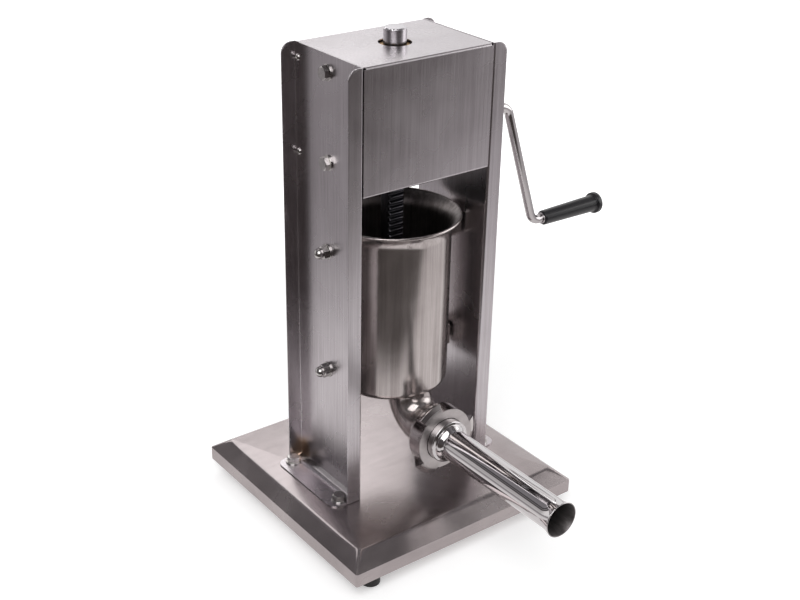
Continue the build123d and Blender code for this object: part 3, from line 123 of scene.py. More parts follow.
def fresh_tree(owner: bpy.types.ID) -> Tree:
    """Switch a material or a world to nodes and return its tree, emptied."""
    owner.use_nodes = True
    owner.node_tree.nodes.clear()
    return owner.node_tree


def overlaid(tree: Tree, amount: Source, under: str | Socket, over: str | Socket, most: float = 1.0) -> Socket:
    """Lay one colour over another.

    Args:
        tree: The shader tree.
        amount: How much of the upper colour there is at each point, from 0 to 1.
        under: The lower colour, as a hex value or a socket.
        over: The upper colour, likewise.
        most: How much of the upper colour there is where the amount is 1.

    Returns:
        The socket of the colour that shows.
    """
    share = add_node(tree, "ShaderNodeMath", (amount, most), operation="MULTIPLY")
    colours = [linear(colour) if isinstance(colour, str) else colour for colour in (under, over)]
    sides = {0: share, 6: colours[0], 7: colours[1]}
    return add_node(tree, "ShaderNodeMix", sides, data_type="RGBA").outputs[2]


def zone(
    tree: Tree, measure: Measure, vector: Triple, start: float, end: float, space: str = "Object"
) -> Socket:
    """Find how far each point is into a zone of space that has a soft edge.

    Args:
        tree: The shader tree.
        measure: What the zone is measured by.
        vector: The point that the distance is from, or the direction.
        start: The measure where the zone begins, in metres.
        end: The measure where it is full, in metres.
        space: The texture coordinate that is measured.

    Returns:
        A socket that is 0 outside the zone and 1 where the zone is full.
    """
    spot = add_node(tree, "ShaderNodeTexCoord").outputs[space]
    reach = add_node(tree, "ShaderNodeVectorMath", (spot, vector), operation=measure.value).outputs["Value"]
    limits = {"Value": reach, "From Min": start, "From Max": end}
    return add_node(tree, "ShaderNodeMapRange", limits, interpolation_type="SMOOTHSTEP").outputs[0]


# -------- finishes
@dataclass(frozen=True)
class Finish:
    """A real material and how its surface was made.

    The tone wanders between shade and colour with three patterns: the fine grain, the broad streaks and the
    clouds that handling and polishing leave. The shares say how far each of the three sways it. Sizes are in
    millimetres along X, Y and Z, and the edge is the width over which a sharp edge catches the light.
    """

    name: str
    slot: str
    colour: str
    shade: str
    roughness: float
    metallic: float = 1.0
    fine: Triple = (1.0, 1.0, 1.0)
    broad: Triple = (12.0, 12.0, 12.0)
    cloud: float = 60.0
    shares: Triple = (0.5, 0.5, 0.5)
    rough_spread: float = 0.1
    relief: float = 0.0
    wave: float = 0.0
    coat: float = 0.0
    coat_roughness: float = 0.05
    edge: float = 0.35

    def material(self) -> bpy.types.Material:
        """Return this finish's material, made the first time it is asked for."""
        return bpy.data.materials.get(self.name) or self.make()

    def noise(self, tree: Tree, sizes: Triple, detail: float) -> Socket:
        """Return noise on Object coordinates whose cells measure these millimetres along X, Y and Z."""
        spot = add_node(tree, "ShaderNodeTexCoord").outputs["Object"]
        scale = tuple(1 / (size * MM) for size in sizes)
        scaled = add_node(tree, "ShaderNodeMapping", {"Vector": spot, "Scale": scale})
        settings = {"Vector": scaled, "Scale": 1.0, "Detail": detail, "Roughness": 0.55}
        return add_node(tree, "ShaderNodeTexNoise", settings).outputs["Fac"]

    def tone(self, tree: Tree, patterns: Sequence[Socket]) -> Socket:
        """Return how far the surface is from shade to colour, from 0 to 1, at each point."""
        total = 0.5
        for pattern, share in zip(patterns, self.shares):
            centred = add_node(tree, "ShaderNodeMath", (pattern, 0.5), operation="SUBTRACT")
            total = add_node(tree, "ShaderNodeMath", (centred, share * 2, total), operation="MULTIPLY_ADD")
        return add_node(tree, "ShaderNodeClamp", {"Value": total}).outputs[0]

    def tint(self, tree: Tree, colour: Socket) -> Socket:
        """Return the surface colour after local marks; most finishes have none."""
        return colour

    def roughened(self, tree: Tree, rough: Socket) -> Socket:
        """Return the roughness after local changes; most finishes have none."""
        return rough

    def make(self) -> bpy.types.Material:
        """Build the material's nodes and return it."""
        material = bpy.data.materials.new(self.name)
        tree = fresh_tree(material)
        grains = ((self.fine, 3.0), (self.broad, 2.0), ((self.cloud,) * 3, 3.0))
        fine, broad, cloud = (self.noise(tree, sizes, detail) for sizes, detail in grains)
        colour = overlaid(tree, self.tone(tree, (fine, broad, cloud)), self.shade, self.colour)
        sway = add_node(tree, "ShaderNodeMath", (cloud, 0.5), operation="SUBTRACT")
        terms = (sway, self.rough_spread * 2, self.roughness)
        rough = add_node(tree, "ShaderNodeMath", terms, operation="MULTIPLY_ADD").outputs[0]
        normal = add_node(tree, "ShaderNodeBevel", {"Radius": self.edge * MM}, samples=4)
        for pattern, depth in ((broad, self.wave), (fine, self.relief)):
            bump = {"Height": pattern, "Distance": depth * MM, "Normal": normal}
            normal = add_node(tree, "ShaderNodeBump", bump)
        surface = {
            "Base Color": self.tint(tree, colour),
            "Metallic": self.metallic,
            "Roughness": self.roughened(tree, rough),
            "Coat Weight": self.coat,
            "Coat Roughness": self.coat_roughness,
            "Normal": normal,
        }
        shader = add_node(tree, "ShaderNodeBsdfPrincipled", surface)
        add_node(tree, "ShaderNodeOutputMaterial", {"Surface": shader})
        return material


@dataclass(frozen=True)
class HeatTintedSheet(Finish):
    """Sheet steel with the straw-brown spot that a weld leaves round one place."""

    tint_colour: str = "#d8b27a"
    tint_place: Triple = (-0.084, 0.052, 0.056)
    tint_radius: float = 17.0
    tint_core: float = 0.4
    tint_strength: float = 0.35

    def tint(self, tree: Tree, colour: Socket) -> Socket:
        """Return the colour with the weld's spot of heat tint."""
        start, end = self.tint_radius * MM, self.tint_core * self.tint_radius * MM
        near = zone(tree, Measure.DISTANCE, self.tint_place, start, end)
        return overlaid(tree, near, colour, self.tint_colour, self.tint_strength)


@dataclass(frozen=True)
class TurnedFace(Finish):
    """A polished casting whose flat front face was left satin by the lathe tool."""

    face_y: float = 0.0
    face_depth: float = 1.2
    face_fade: float = 0.4
    face_roughness: float = 0.42

    def roughened(self, tree: Tree, rough: Socket) -> Socket:
        """Return the roughness, which rises on the flat front face."""
        spot = add_node(tree, "ShaderNodeTexCoord").outputs["Object"]
        along = add_node(tree, "ShaderNodeSeparateXYZ", (spot,)).outputs["Y"]
        edge = self.face_y + self.face_depth * MM
        limits = {"Value": along, "From Min": edge + self.face_fade * MM, "From Max": edge}
        front = add_node(tree, "ShaderNodeMapRange", limits)
        return add_node(tree, "ShaderNodeMix", {0: front, 2: rough, 3: self.face_roughness}).outputs[0]


@dataclass(frozen=True)
class ShadePaintedBar(Finish):
    """A ground bar painted dark below one height: painted shade for where it runs inside the head and the
    barrel.
    """

    painted_shade_colour: str = "#3c3d44"
    painted_shade_top: float = 0.47
    painted_shade_fade: float = 0.03
    painted_shade_cover: float = 0.85
    painted_shade_roughness: float = 0.3

    def painted_shade_amount(self, tree: Tree) -> Socket:
        """Return how much painted shade there is at each point, from 0 to 1."""
        return zone(tree, Measure.ALONG, (0, 0, 1), self.painted_shade_top, self.painted_shade_top - self.painted_shade_fade)

    def tint(self, tree: Tree, colour: Socket) -> Socket:
        """Return the colour, darkened by the painted shade."""
        return overlaid(tree, self.painted_shade_amount(tree), colour, self.painted_shade_colour, self.painted_shade_cover)

    def roughened(self, tree: Tree, rough: Socket) -> Socket:
        """Return the roughness, raised where the shade is painted."""
        sides = {0: self.painted_shade_amount(tree), 2: rough, 3: self.painted_shade_roughness}
        return add_node(tree, "ShaderNodeMix", sides).outputs[0]


# Cold-rolled stainless sheet, belt-brushed along Z: a soft grey with fine vertical lines and drawn-out streaks.
UPRIGHT_SHEET = HeatTintedSheet(
    "brushed_stainless_upright", "brushed_stainless", "#d4cfd2", "#b3adb0", 0.27,
    fine=(0.8, 0.8, 60), broad=(2.4, 2.4, 260), cloud=70, shares=(0.6, 0.5, 0.5), rough_spread=0.06,
    relief=0.012,
)
# Stainless sheet brushed across its width before it is pressed: a darker grey whose lines run along X.
TRAY_SHEET = Finish(
    "brushed_stainless_pressed_tray", "brushed_stainless", "#bcb4b4", "#999191", 0.25,
    fine=(30, 0.4, 0.4), broad=(90, 9, 9), cloud=55, shares=(0.2, 0.15, 0.6), rough_spread=0.08,
    relief=0.01,
)
# Deep-drawn and buffed stainless: glossy, with faint upright draw marks and a slow ripple in the wall.
DRAWN_WALL = Finish(
    "buffed_stainless_drawn_barrel", "polished_stainless", "#cdc6c4", "#9a918f", 0.19, metallic=0.93,
    fine=(1, 1, 120), broad=(7, 7, 300), cloud=50, shares=(0.45, 0.8, 0.5), rough_spread=0.05,
    relief=0.003, wave=0.05,
)
# Tube drawn and buffed along its length: near mirror, with bright and dark lines from end to end.
DRAWN_TUBE = Finish(
    "buffed_stainless_drawn_tube", "polished_stainless", "#dedbdb", "#bfbcbd", 0.07,
    fine=(0.7, 90, 0.7), broad=(5, 260, 5), cloud=40, shares=(0.3, 0.4, 0.3), rough_spread=0.04,
    relief=0.003, wave=0.02,
)
# The inside of drawn work is never buffed: satin, with its draw marks still there, and a darker tone that is
# painted shade for the hollow.
SATIN_AND_SHADED_INNER_WALL = Finish(
    "satin_stainless_with_painted_shade_inside", "polished_stainless", "#a19b9a", "#686261", 0.36,
    fine=(0.8, 0.8, 120), broad=(5, 5, 300), cloud=40, shares=(0.4, 0.8, 0.3), rough_spread=0.06,
    relief=0.004,
)
# The bore of the tube is left as it was drawn too: rough, so it mirrors nothing, in a dull dark grey that is
# painted shade for the bore.
SATIN_AND_SHADED_TUBE_BORE = Finish(
    "satin_stainless_with_painted_shade_bore", "polished_stainless", "#8b8686", "#5b5757", 0.45, metallic=0.8,
    fine=(0.8, 60, 0.8), broad=(4, 200, 4), cloud=40, edge=0.1,
)
# Stainless round bar, bent cold and buffed: bright and even, with only a slow change of tone.
BENT_BAR = Finish(
    "buffed_stainless_round_bar", "polished_stainless", "#cfcbcb", "#a39fa0", 0.10,
    fine=(4,) * 3, broad=(25, 8, 25), cloud=30, shares=(0.2, 0.4, 0.4), rough_spread=0.05,
    relief=0.003,
)
# Stainless casting, buffed on its sides and faced in the lathe: mirror sides round a satin front.
CAST_NUT = TurnedFace(
    "buffed_and_faced_stainless_casting", "polished_stainless", "#d2cccb", "#aaa5a5", 0.12,
    fine=(0.9,) * 3, broad=(10,) * 3, cloud=25, shares=(0.3, 0.4, 0.4), rough_spread=0.06,
    relief=0.004, face_y=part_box("ring_nut")[0].y,
)
# Centreless-ground bar: the grinding lines go round it and blur its reflection up and down. Below the head its
# colour is painted dark and bluish, a painted shade for the dark barrel round it.
GROUND_BAR = ShadePaintedBar(
    "ground_steel_rack_bar", "ground_rod", "#dddadd", "#b5b2b6", 0.26,
    fine=(30, 30, 0.4), broad=(60, 60, 9), cloud=40, shares=(0.4, 0.3, 0.4), rough_spread=0.05,
    relief=0.003,
)
# Turned and milled mild steel with a film of grease: grey, with visible tool lines.
MACHINED = Finish(
    "machined_steel", "machined_steel", "#9a9a9c", "#6a6a6d", 0.34,
    fine=(0.5, 14, 14), broad=(16,) * 3, cloud=40, relief=0.01,
)
# Hardened spring steel, oil-blackened: near black with a dull sheen.
BLACKENED = Finish(
    "oil_blackened_spring_steel", "spring_steel", "#3a3a3e", "#232326", 0.38,
    fine=(0.6,) * 3, broad=(5,) * 3, cloud=12,
)
# Cold-headed stainless fasteners, barrel-polished: bright, with small dings.
BRIGHT_FASTENER = Finish(
    "barrel_polished_stainless_fastener", "plated_fasteners", "#d2cfcd", "#a5a2a0", 0.18,
    fine=(0.8,) * 3, broad=(3,) * 3, cloud=8, relief=0.006,
)
# Bronze bush, turned and soaked in oil: a dull brown gold with fine tool lines.
TURNED_BRASS = Finish(
    "turned_oil_soaked_bronze", "bush_brass", "#b8935a", "#7d6036", 0.3,
    fine=(0.5, 12, 12), broad=(6,) * 3, cloud=15, relief=0.008,
)
# Machined food-grade nylon: a warm off-white with a fine matt grain.
NYLON = Finish(
    "machined_white_nylon", "piston_nylon", "#e6e4dc", "#d2cfc6", 0.45, metallic=0,
    fine=(0.6,) * 3, broad=(20,) * 3, relief=0.02,
)
# Moulded silicone: a milky off-white with a fine bloom.
SILICONE = Finish(
    "moulded_silicone", "silicone_rubber", "#d8d6d0", "#c2c0ba", 0.5, metallic=0,
    fine=(0.7,) * 3, broad=(10,) * 3, relief=0.01,
)
# Injection-moulded phenolic grip: a near-black glossy skin with slight sink marks.
GRIP_PLASTIC = Finish(
    "gloss_moulded_phenolic", "grip_plastic", "#0e0e14", "#09090c", 0.4, metallic=0,
    fine=(0.8,) * 3, broad=(14, 9, 9), cloud=30, rough_spread=0.08, relief=0.008, wave=0.03,
    coat=0.35,
)
# Moulded rubber: black, matt and slightly grained.
FOOT_RUBBER = Finish(
    "moulded_black_rubber", "foot_rubber", "#1d1d1e", "#121213", 0.6, metallic=0,
    fine=(0.5,) * 3, broad=(6,) * 3, relief=0.03,
)


# -------- mesh helpers
def place(name: str, data: bpy.types.ID) -> Piece:
    """Put a mesh, a lamp's data or a camera's in the scene as an object at the origin."""
    piece = bpy.data.objects.new(name, data)
    bpy.context.scene.collection.objects.link(piece)
    return piece


def shaped(name: str, shape: bmesh.types.BMesh) -> Piece:
    """Turn a bmesh, which is used up, into a piece."""
    mesh = bpy.data.meshes.new(name)
    shape.to_mesh(mesh)
    shape.free()
    return place(name, mesh)


def welded(node: str, name: str, degrees: float = 32.0) -> Piece:
    """Copy a CAD node's mesh with its loose triangles joined, flat faces flat and bends smooth.

    Args:
        node: The CAD node.
        name: The new piece's name.
        degrees: Edges sharper than this stay sharp.

    Returns:
        The copy, as an object at the origin.
    """
    shape = bmesh.new()
    shape.from_mesh(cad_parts[node].data)
    bmesh.ops.remove_doubles(shape, verts=shape.verts, dist=0.002 * MM)
    piece = smoothed(shaped(name, shape), degrees)
    flattening = piece.modifiers.new("flattening", "WEIGHTED_NORMAL")
    flattening.mode = "FACE_AREA"
    flattening.weight = 100
    flattening.keep_sharp = True
    return baked(piece)


def baked(piece: Piece) -> Piece:
    """Turn a piece with modifiers into a plain mesh with none."""
    graph = bpy.context.evaluated_depsgraph_get()
    mesh = bpy.data.meshes.new_from_object(piece.evaluated_get(graph), depsgraph=graph)
    piece.modifiers.clear()
    piece.data = mesh
    return piece


def smoothed(piece: Piece, degrees: float = 32.0) -> Piece:
    """Shade a piece smooth, apart from edges sharper than an angle."""
    piece.data.polygons.foreach_set("use_smooth", [True] * len(piece.data.polygons))
    piece.data.set_sharp_from_angle(angle=math.radians(degrees))
    return piece


def eased(piece: Piece, width: float, segments: int = 2, degrees: float = 38.0) -> Piece:
    """Round a piece's sharp edges.

    Args:
        piece: The piece, whose mesh is changed.
        width: The rounding's width in millimetres.
        segments: How many faces cross each rounding.
        degrees: Edges sharper than this are rounded.

    Returns:
        The same piece, shaded smooth.
    """
    rounding = piece.modifiers.new("easing", "BEVEL")
    rounding.width = width * MM
    rounding.segments = segments
    rounding.limit_method = "ANGLE"
    rounding.angle_limit = math.radians(degrees)
    rounding.use_clamp_overlap = True
    rounding.harden_normals = True
    smoothed(piece, degrees)
    return baked(piece)


def rounded(corners: Sequence[Triple], steps: int = 6) -> Outline:
    """Turn corners into an outline whose corners are arcs.

    Args:
        corners: Each corner's two coordinates and its radius, in millimetres; the ends of an open outline
            have the radius 0.
        steps: How many runs each arc has.

    Returns:
        The outline's points in millimetres.
    """
    points: Outline = []
    for index, (x, y, radius) in enumerate(corners):
        here = Vector((x, y))
        if radius <= 0:
            points.append((x, y))
            continue
        back = Vector(corners[index - 1][:2]) - here
        ahead = Vector(corners[(index + 1) % len(corners)][:2]) - here
        half = back.angle(ahead) / 2
        reach = min(radius / math.tan(half), 0.49 * back.length, 0.49 * ahead.length)
        middle = here + (back.normalized() + ahead.normalized()).normalized() * reach / math.cos(half)
        start = here + back.normalized() * reach - middle
        end = here + ahead.normalized() * reach - middle
        turn = start.angle_signed(end)
        for step in range(steps + 1):
            spoke = start.copy()
            spoke.rotate(Matrix.Rotation(-turn * step / steps, 2))
            points.append((middle.x + spoke.x, middle.y + spoke.y))
    return points


def turned(name: str, outline: Outline, axis: Axis, centre: Sequence[float], sides: int = 144) -> Piece:
    """Turn a closed outline about an axis, as a lathe or a spinning die does.

    Args:
        name: The piece's name.
        outline: Points (radius, place along the axis) in millimetres; radius 0 lies on the axis.
        axis: The axis that the piece is turned about.
        centre: The point that places along the axis are measured from, in millimetres.
        sides: How many faces go round.

    Returns:
        The piece, shaded smooth.
    """
    shape = bmesh.new()
    rings = []
    for radius, along in outline:
        ring = []
        for side in range(sides if radius > 0 else 1):
            angle = 2 * math.pi * side / sides
            across, up = radius * math.cos(angle), radius * math.sin(angle)
            spots = {Axis.X: (along, across, up), Axis.Y: (across, along, up), Axis.Z: (across, up, along)}
            ring.append(shape.verts.new((Vector(spots[axis]) + Vector(centre)) * MM))
        rings.append(ring)
    for ring, other in zip(rings, rings[1:] + rings[:1]):
        for side in range(sides):
            loop = [ring[place % len(ring)] for place in (side, (side + 1) % sides)]
            loop += [other[place % len(other)] for place in ((side + 1) % sides, side)]
            corners = list(dict.fromkeys(loop))
            if len(corners) > 2:
                shape.faces.new(corners)
    bmesh.ops.recalc_face_normals(shape, faces=shape.faces)
    return smoothed(shaped(name, shape))


def lined(piece: Piece, axis: Axis, centre: Sequence[float], finish: Finish, lean: float = 0.1) -> None:
    """Give the faces of a turned piece that lean towards its axis a finish of their own."""
    piece.data.materials.append(finish.material())
    for face in piece.data.polygons:
        out = face.center - Vector(centre) * MM
        out[axis.value] = 0
        if face.normal.dot(out) < -lean * out.length:
            face.material_index = len(piece.data.materials) - 1


def combined(piece: Piece, other: Piece, operation: str) -> Piece:
    """Cut or join a piece with another, which is used up."""
    cut = piece.modifiers.new("cut", "BOOLEAN")
    cut.operation = operation
    cut.solver = "EXACT"
    cut.object = other
    baked(piece)
    bpy.data.objects.remove(other)
    return piece


# -------- geometry trees
CROWN_SHARE = 0.47  # radius of a hexagon head's round top against its width across flats
CHAMFER_SLOPE = math.tan(math.radians(60))  # how much wider the chamfer gets for each unit down
DOME_SPREAD = 1.02  # how far a button head's ball reaches past its rim
RECESS_MIDDLE = 0.95  # how high the middle of the recess is in a button head
BOLT_EMBED = 0.5 * MM  # how far a bolt's shank reaches into its head, so that the two unite
SCREW_EMBED = 0.2 * MM  # the same for a button screw, whose recess comes close
POCKET_START = -0.01 * MM  # where the cutter of a foot's pocket starts, just below the foot
FASTENER_TURN = math.radians(50)  # the most that a fastener is turned from its neighbours
BALL = {"Segments": 48, "Rings": 24}


def new_tree(name: str, sizes: Sequence[str], count: str = "Seed") -> tuple[Tree, Mapping[str, Socket]]:
    """Start a geometry tree.

    Args:
        name: The tree's name.
        sizes: The names of the inputs that are lengths or angles.
        count: The name of the input that is a whole number.

    Returns:
        The tree and its inputs' sockets by name, with the geometry and the finish among them.
    """
    tree = bpy.data.node_groups.new(name, "GeometryNodeTree")
    kinds = {"Geometry": "Geometry"} | {size: "Float" for size in sizes} | {count: "Int", "Finish": "Material"}
    for label, kind in kinds.items():
        tree.interface.new_socket(label, in_out="INPUT", socket_type=f"NodeSocket{kind}")
    tree.interface.new_socket("Geometry", in_out="OUTPUT", socket_type="NodeSocketGeometry")
    return tree, add_node(tree, "NodeGroupInput").outputs


def shifted(tree: Tree, form: Source, height: Source, share: float = 1.0, more: float = 0.0) -> Socket:
    """Raise a form by a share of a height and a little more, in metres."""
    rise = add_node(tree, "ShaderNodeMath", (height, share, more), operation="MULTIPLY_ADD")
    lift = add_node(tree, "ShaderNodeCombineXYZ", {"Z": rise})
    return add_node(tree, "GeometryNodeTransform", {"Geometry": form, "Translation": lift}).outputs[0]


def cylinder(tree: Tree, sides: int, radius: Source, depth: Source, share: float, more: float = 0.0) -> Socket:
    """Make a cylinder or a prism and raise it by a share of its depth and a little more, in metres."""
    sizes = {"Vertices": sides, "Radius": radius, "Depth": depth}
    return shifted(tree, add_node(tree, "GeometryNodeMeshCylinder", sizes), depth, share, more)


def hexagon(tree: Tree, flats: Source, depth: Source, share: float) -> Socket:
    """Make a hexagonal prism by its width across flats and raise it by a share of its depth."""
    corner = add_node(tree, "ShaderNodeMath", (flats, math.sqrt(3)), operation="DIVIDE")
    return cylinder(tree, 6, corner, depth, share)


def ended(tree: Tree, form: Source, given: Mapping[str, Socket]) -> Tree:
    """End a tree with real geometry in the material of the input called Finish."""
    real = add_node(tree, "GeometryNodeRealizeInstances", (form,))
    dressed = add_node(tree, "GeometryNodeSetMaterial", {"Geometry": real, "Material": given["Finish"]})
    add_node(tree, "NodeGroupOutput", (dressed,))
    return tree


def spread(tree: Tree, form: Source, given: Mapping[str, Socket]) -> Tree:
    """Put a form on every point, standing along its outward direction at a seeded angle, and end the tree."""
    outward = add_node(tree, "GeometryNodeInputNamedAttribute", {"Name": "outward"}, data_type="FLOAT_VECTOR")
    stand = add_node(tree, "FunctionNodeAlignRotationToVector", {"Vector": outward}, axis="Z")
    limits = {2: 0.0, 3: given["Spin"], "Seed": given["Seed"]}
    angle = add_node(tree, "FunctionNodeRandomValue", limits).outputs[1]
    spin = add_node(tree, "ShaderNodeCombineXYZ", {"Z": angle})
    settings = {"Points": given["Geometry"], "Instance": form, "Rotation": stand}
    copies = add_node(tree, "GeometryNodeInstanceOnPoints", settings)
    turning = {"Instances": copies, "Rotation": spin, "Local Space": True}
    return ended(tree, add_node(tree, "GeometryNodeRotateInstances", turning), given)


def hexagon_tree(domed: bool) -> Tree:
    """Build the tree of a hexagon-headed bolt, or of a dome nut on its stud, on every point.

    Args:
        domed: Whether the hexagon has a dome on it.

    Returns:
        The tree.
    """
    sizes = ["Flats", "Head Height", "Shank Radius", "Shank Length", "Spin"]
    sizes += ["Dome Radius", "Dome Top"] if domed else []
    tree, given = new_tree("dome_nut" if domed else "hexagon_bolt", sizes)
    flats, height = given["Flats"], given["Head Height"]
    crown = add_node(tree, "ShaderNodeMath", (flats, CROWN_SHARE), operation="MULTIPLY")
    skirt = add_node(tree, "ShaderNodeMath", (height, CHAMFER_SLOPE, crown), operation="MULTIPLY_ADD")
    slope = {"Vertices": 60, "Radius Top": crown, "Radius Bottom": skirt, "Depth": height}
    cone = add_node(tree, "GeometryNodeMeshCone", slope)
    forms = [hexagon(tree, flats, height, 0.5), cone]
    head = add_node(tree, "GeometryNodeMeshBoolean", {1: forms}, operation="INTERSECT", solver="EXACT")
    forms = [head, cylinder(tree, 32, given["Shank Radius"], given["Shank Length"], -0.5, BOLT_EMBED)]
    if domed:
        radius = given["Dome Radius"]
        centre = add_node(tree, "ShaderNodeMath", (given["Dome Top"], radius), operation="SUBTRACT")
        ball = add_node(tree, "GeometryNodeMeshUVSphere", BALL | {"Radius": radius})
        forms += [shifted(tree, ball, centre), cylinder(tree, 48, radius, centre, 0.5)]
    whole = add_node(tree, "GeometryNodeMeshBoolean", {1: forms}, operation="UNION", solver="EXACT")
    return spread(tree, whole, given)


def screw_tree() -> Tree:
    """Build the tree of a button-headed screw with a hexagon recess on every point."""
    sizes = ["Head Radius", "Head Height", "Recess Flats", "Shank Radius", "Shank Length", "Spin"]
    tree, given = new_tree("button_screw", sizes)
    radius, height = given["Head Radius"], given["Head Height"]
    ball = add_node(tree, "GeometryNodeMeshUVSphere", BALL | {"Radius": radius})
    squash = add_node(tree, "ShaderNodeMath", (height, radius), operation="DIVIDE")
    scale = add_node(tree, "ShaderNodeCombineXYZ", (DOME_SPREAD, DOME_SPREAD, squash))
    dome = add_node(tree, "GeometryNodeTransform", {"Geometry": ball, "Scale": scale})
    forms = [dome, cylinder(tree, 48, radius, height, 0.5)]
    head = add_node(tree, "GeometryNodeMeshBoolean", {1: forms}, operation="INTERSECT", solver="EXACT")
    cut = {0: head, 1: hexagon(tree, given["Recess Flats"], height, RECESS_MIDDLE)}
    head = add_node(tree, "GeometryNodeMeshBoolean", cut, operation="DIFFERENCE", solver="EXACT")
    forms = [head, cylinder(tree, 24, given["Shank Radius"], given["Shank Length"], -0.5, SCREW_EMBED)]
    whole = add_node(tree, "GeometryNodeMeshBoolean", {1: forms}, operation="UNION", solver="EXACT")
    return spread(tree, whole, given)


def foot_tree() -> Tree:
    """Build the tree of a tapered rubber foot, with the pocket for its screw, on every point."""
    sizes = ["Bottom Radius", "Top Radius", "Height", "Pocket Radius", "Pocket Depth", "Spin"]
    tree, given = new_tree("rubber_foot", sizes)
    slope = {"Vertices": 64, "Radius Top": given["Top Radius"], "Radius Bottom": given["Bottom Radius"]}
    body = add_node(tree, "GeometryNodeMeshCone", slope | {"Depth": given["Height"]})
    cut = {0: body, 1: cylinder(tree, 48, given["Pocket Radius"], given["Pocket Depth"], 0.5, POCKET_START)}
    foot = add_node(tree, "GeometryNodeMeshBoolean", cut, operation="DIFFERENCE", solver="EXACT")
    return spread(tree, foot, given)


def bar_tree() -> Tree:
    """Build the tree of a round bar along a path."""
    tree, given = new_tree("round_bar", ["Radius"], "Sides")
    path = add_node(tree, "GeometryNodeMeshToCurve", {"Mesh": given["Geometry"]})
    sizes = {"Resolution": given["Sides"], "Radius": given["Radius"]}
    section = add_node(tree, "GeometryNodeCurvePrimitiveCircle", sizes)
    links = {"Curve": path, "Profile Curve": section, "Fill Caps": True}
    return ended(tree, add_node(tree, "GeometryNodeCurveToMesh", links), given)


def grown(piece: Piece, tree: Tree, finish: Finish, sizes: dict[str, float], **others: float) -> Piece:
    """Run a geometry tree on a piece and keep the plain mesh that comes out.

    Args:
        piece: The piece, whose mesh holds the points or the path.
        tree: The geometry tree.
        finish: The finish for the tree's input of that name.
        sizes: The lengths among the tree's inputs, in millimetres.
        others: The tree's other inputs, as they are.

    Returns:
        The same piece.
    """
    values = {label: size * MM for label, size in sizes.items()} | others | {"Finish": finish.material()}
    modifier = piece.modifiers.new(tree.name, "NODES")
    modifier.node_group = tree
    for item in tree.interface.items_tree:
        if item.in_out == "INPUT" and item.name in values:
            modifier[item.identifier] = values[item.name]
    return baked(piece)


def standing(name: str, spots: Iterable[tuple[Sequence[float], Sequence[float]]]) -> Piece:
    """Make the points that forms stand on.

    Args:
        name: The piece's name.
        spots: Each point in millimetres, with the direction that its form stands along.

    Returns:
        A piece of loose points.
    """
    spots = list(spots)
    mesh = bpy.data.meshes.new(name)
    mesh.from_pydata([Vector(spot) * MM for spot, _ in spots], [], [])
    outward = mesh.attributes.new("outward", "FLOAT_VECTOR", "POINT")
    outward.data.foreach_set("vector", [part for _, way in spots for part in way])
    return place(name, mesh)


def on_webs(out: float, y: float, heights: Sequence[float]) -> list[tuple[Triple, Triple]]:
    """Return spots on the outer faces of both side plates, each with its outward direction."""
    return [((side * out, y, z), (side, 0, 0)) for side in (-1, 1) for z in heights]


def swept(name: str, path: Sequence[Sequence[float]], radius: float, sides: int, finish: Finish) -> Piece:
    """Sweep a round bar along a path.

    Args:
        name: The piece's name.
        path: The path's points in millimetres.
        radius: The bar's radius in millimetres.
        sides: How many faces go round.
        finish: The bar's finish.

    Returns:
        The bar, closed and shaded smooth.
    """
    mesh = bpy.data.meshes.new(name)
    mesh.from_pydata([Vector(point) * MM for point in path], [(i, i + 1) for i in range(len(path) - 1)], [])
    bar = grown(place(name, mesh), bar_tree(), finish, {"Radius": radius}, Sides=sides)
    shape = bmesh.new()
    shape.from_mesh(bar.data)
    bmesh.ops.remove_doubles(shape, verts=shape.verts, dist=0.001 * MM)
    bmesh.ops.recalc_face_normals(shape, faces=shape.faces)
    shape.to_mesh(bar.data)
    shape.free()
    return smoothed(bar)


# -------- sub-assemblies
@dataclass
class SubAssembly:
    """What every sub-assembly does with its pieces and with the CAD nodes that it keeps."""

    def dress(self, finish: Finish, *nodes: str) -> None:
        """Give a finish to CAD nodes that keep their own mesh."""
        for node in nodes:
            for material_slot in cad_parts[node].material_slots:
                material_slot.material = finish.material()
            LOG.info("%s keeps its mesh, in %s", node, finish.name)

    def settle(self, piece: Piece, finish: Finish, body: str, *nodes: str) -> Piece:
        """Dress a piece, let it ride on a body and let it stand for CAD nodes."""
        piece.data.materials.clear()
        piece.data.materials.append(finish.material())
        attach(piece, body)
        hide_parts(*nodes)
        LOG.info("%s rides on %s, in %s", piece.name, body, finish.name)
        return piece


@dataclass
class Tray(SubAssembly):
    """The pressed tray on its four rubber feet."""

    foot_places: tuple[Pair, ...] = ((-120, -131.5), (120, -131.5), (-120, 131.5), (120, 131.5))
    foot_radius: float = 10.5
    foot_top_radius: float = 11.2
    foot_pocket: Pair = (6.0, 9.0)
    foot_edge: float = 1.0

    def build(self) -> None:
        """Build the tray and its feet."""
        self.settle(welded("tray", "tray_pressing", degrees=24), TRAY_SHEET, "stand", "tray")
        self.feet()
        self.dress(BRIGHT_FASTENER, "foot_screws", "foot_nuts", "sole_nuts")

    def feet(self) -> None:
        """Build the four rubber feet."""
        sizes = {"Bottom Radius": self.foot_radius, "Top Radius": self.foot_top_radius}
        sizes |= zip(("Pocket Radius", "Pocket Depth"), self.foot_pocket)
        points = standing("rubber_feet", [((x, y, 0), (0, 0, 1)) for x, y in self.foot_places])
        feet = grown(points, foot_tree(), FOOT_RUBBER, sizes, Height=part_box("front_left_foot")[1].z)
        feet = eased(feet, self.foot_edge, segments=3)
        names = [f"{end}_{hand}_foot" for end in ("front", "rear") for hand in ("left", "right")]
        self.settle(feet, FOOT_RUBBER, "stand", *names)


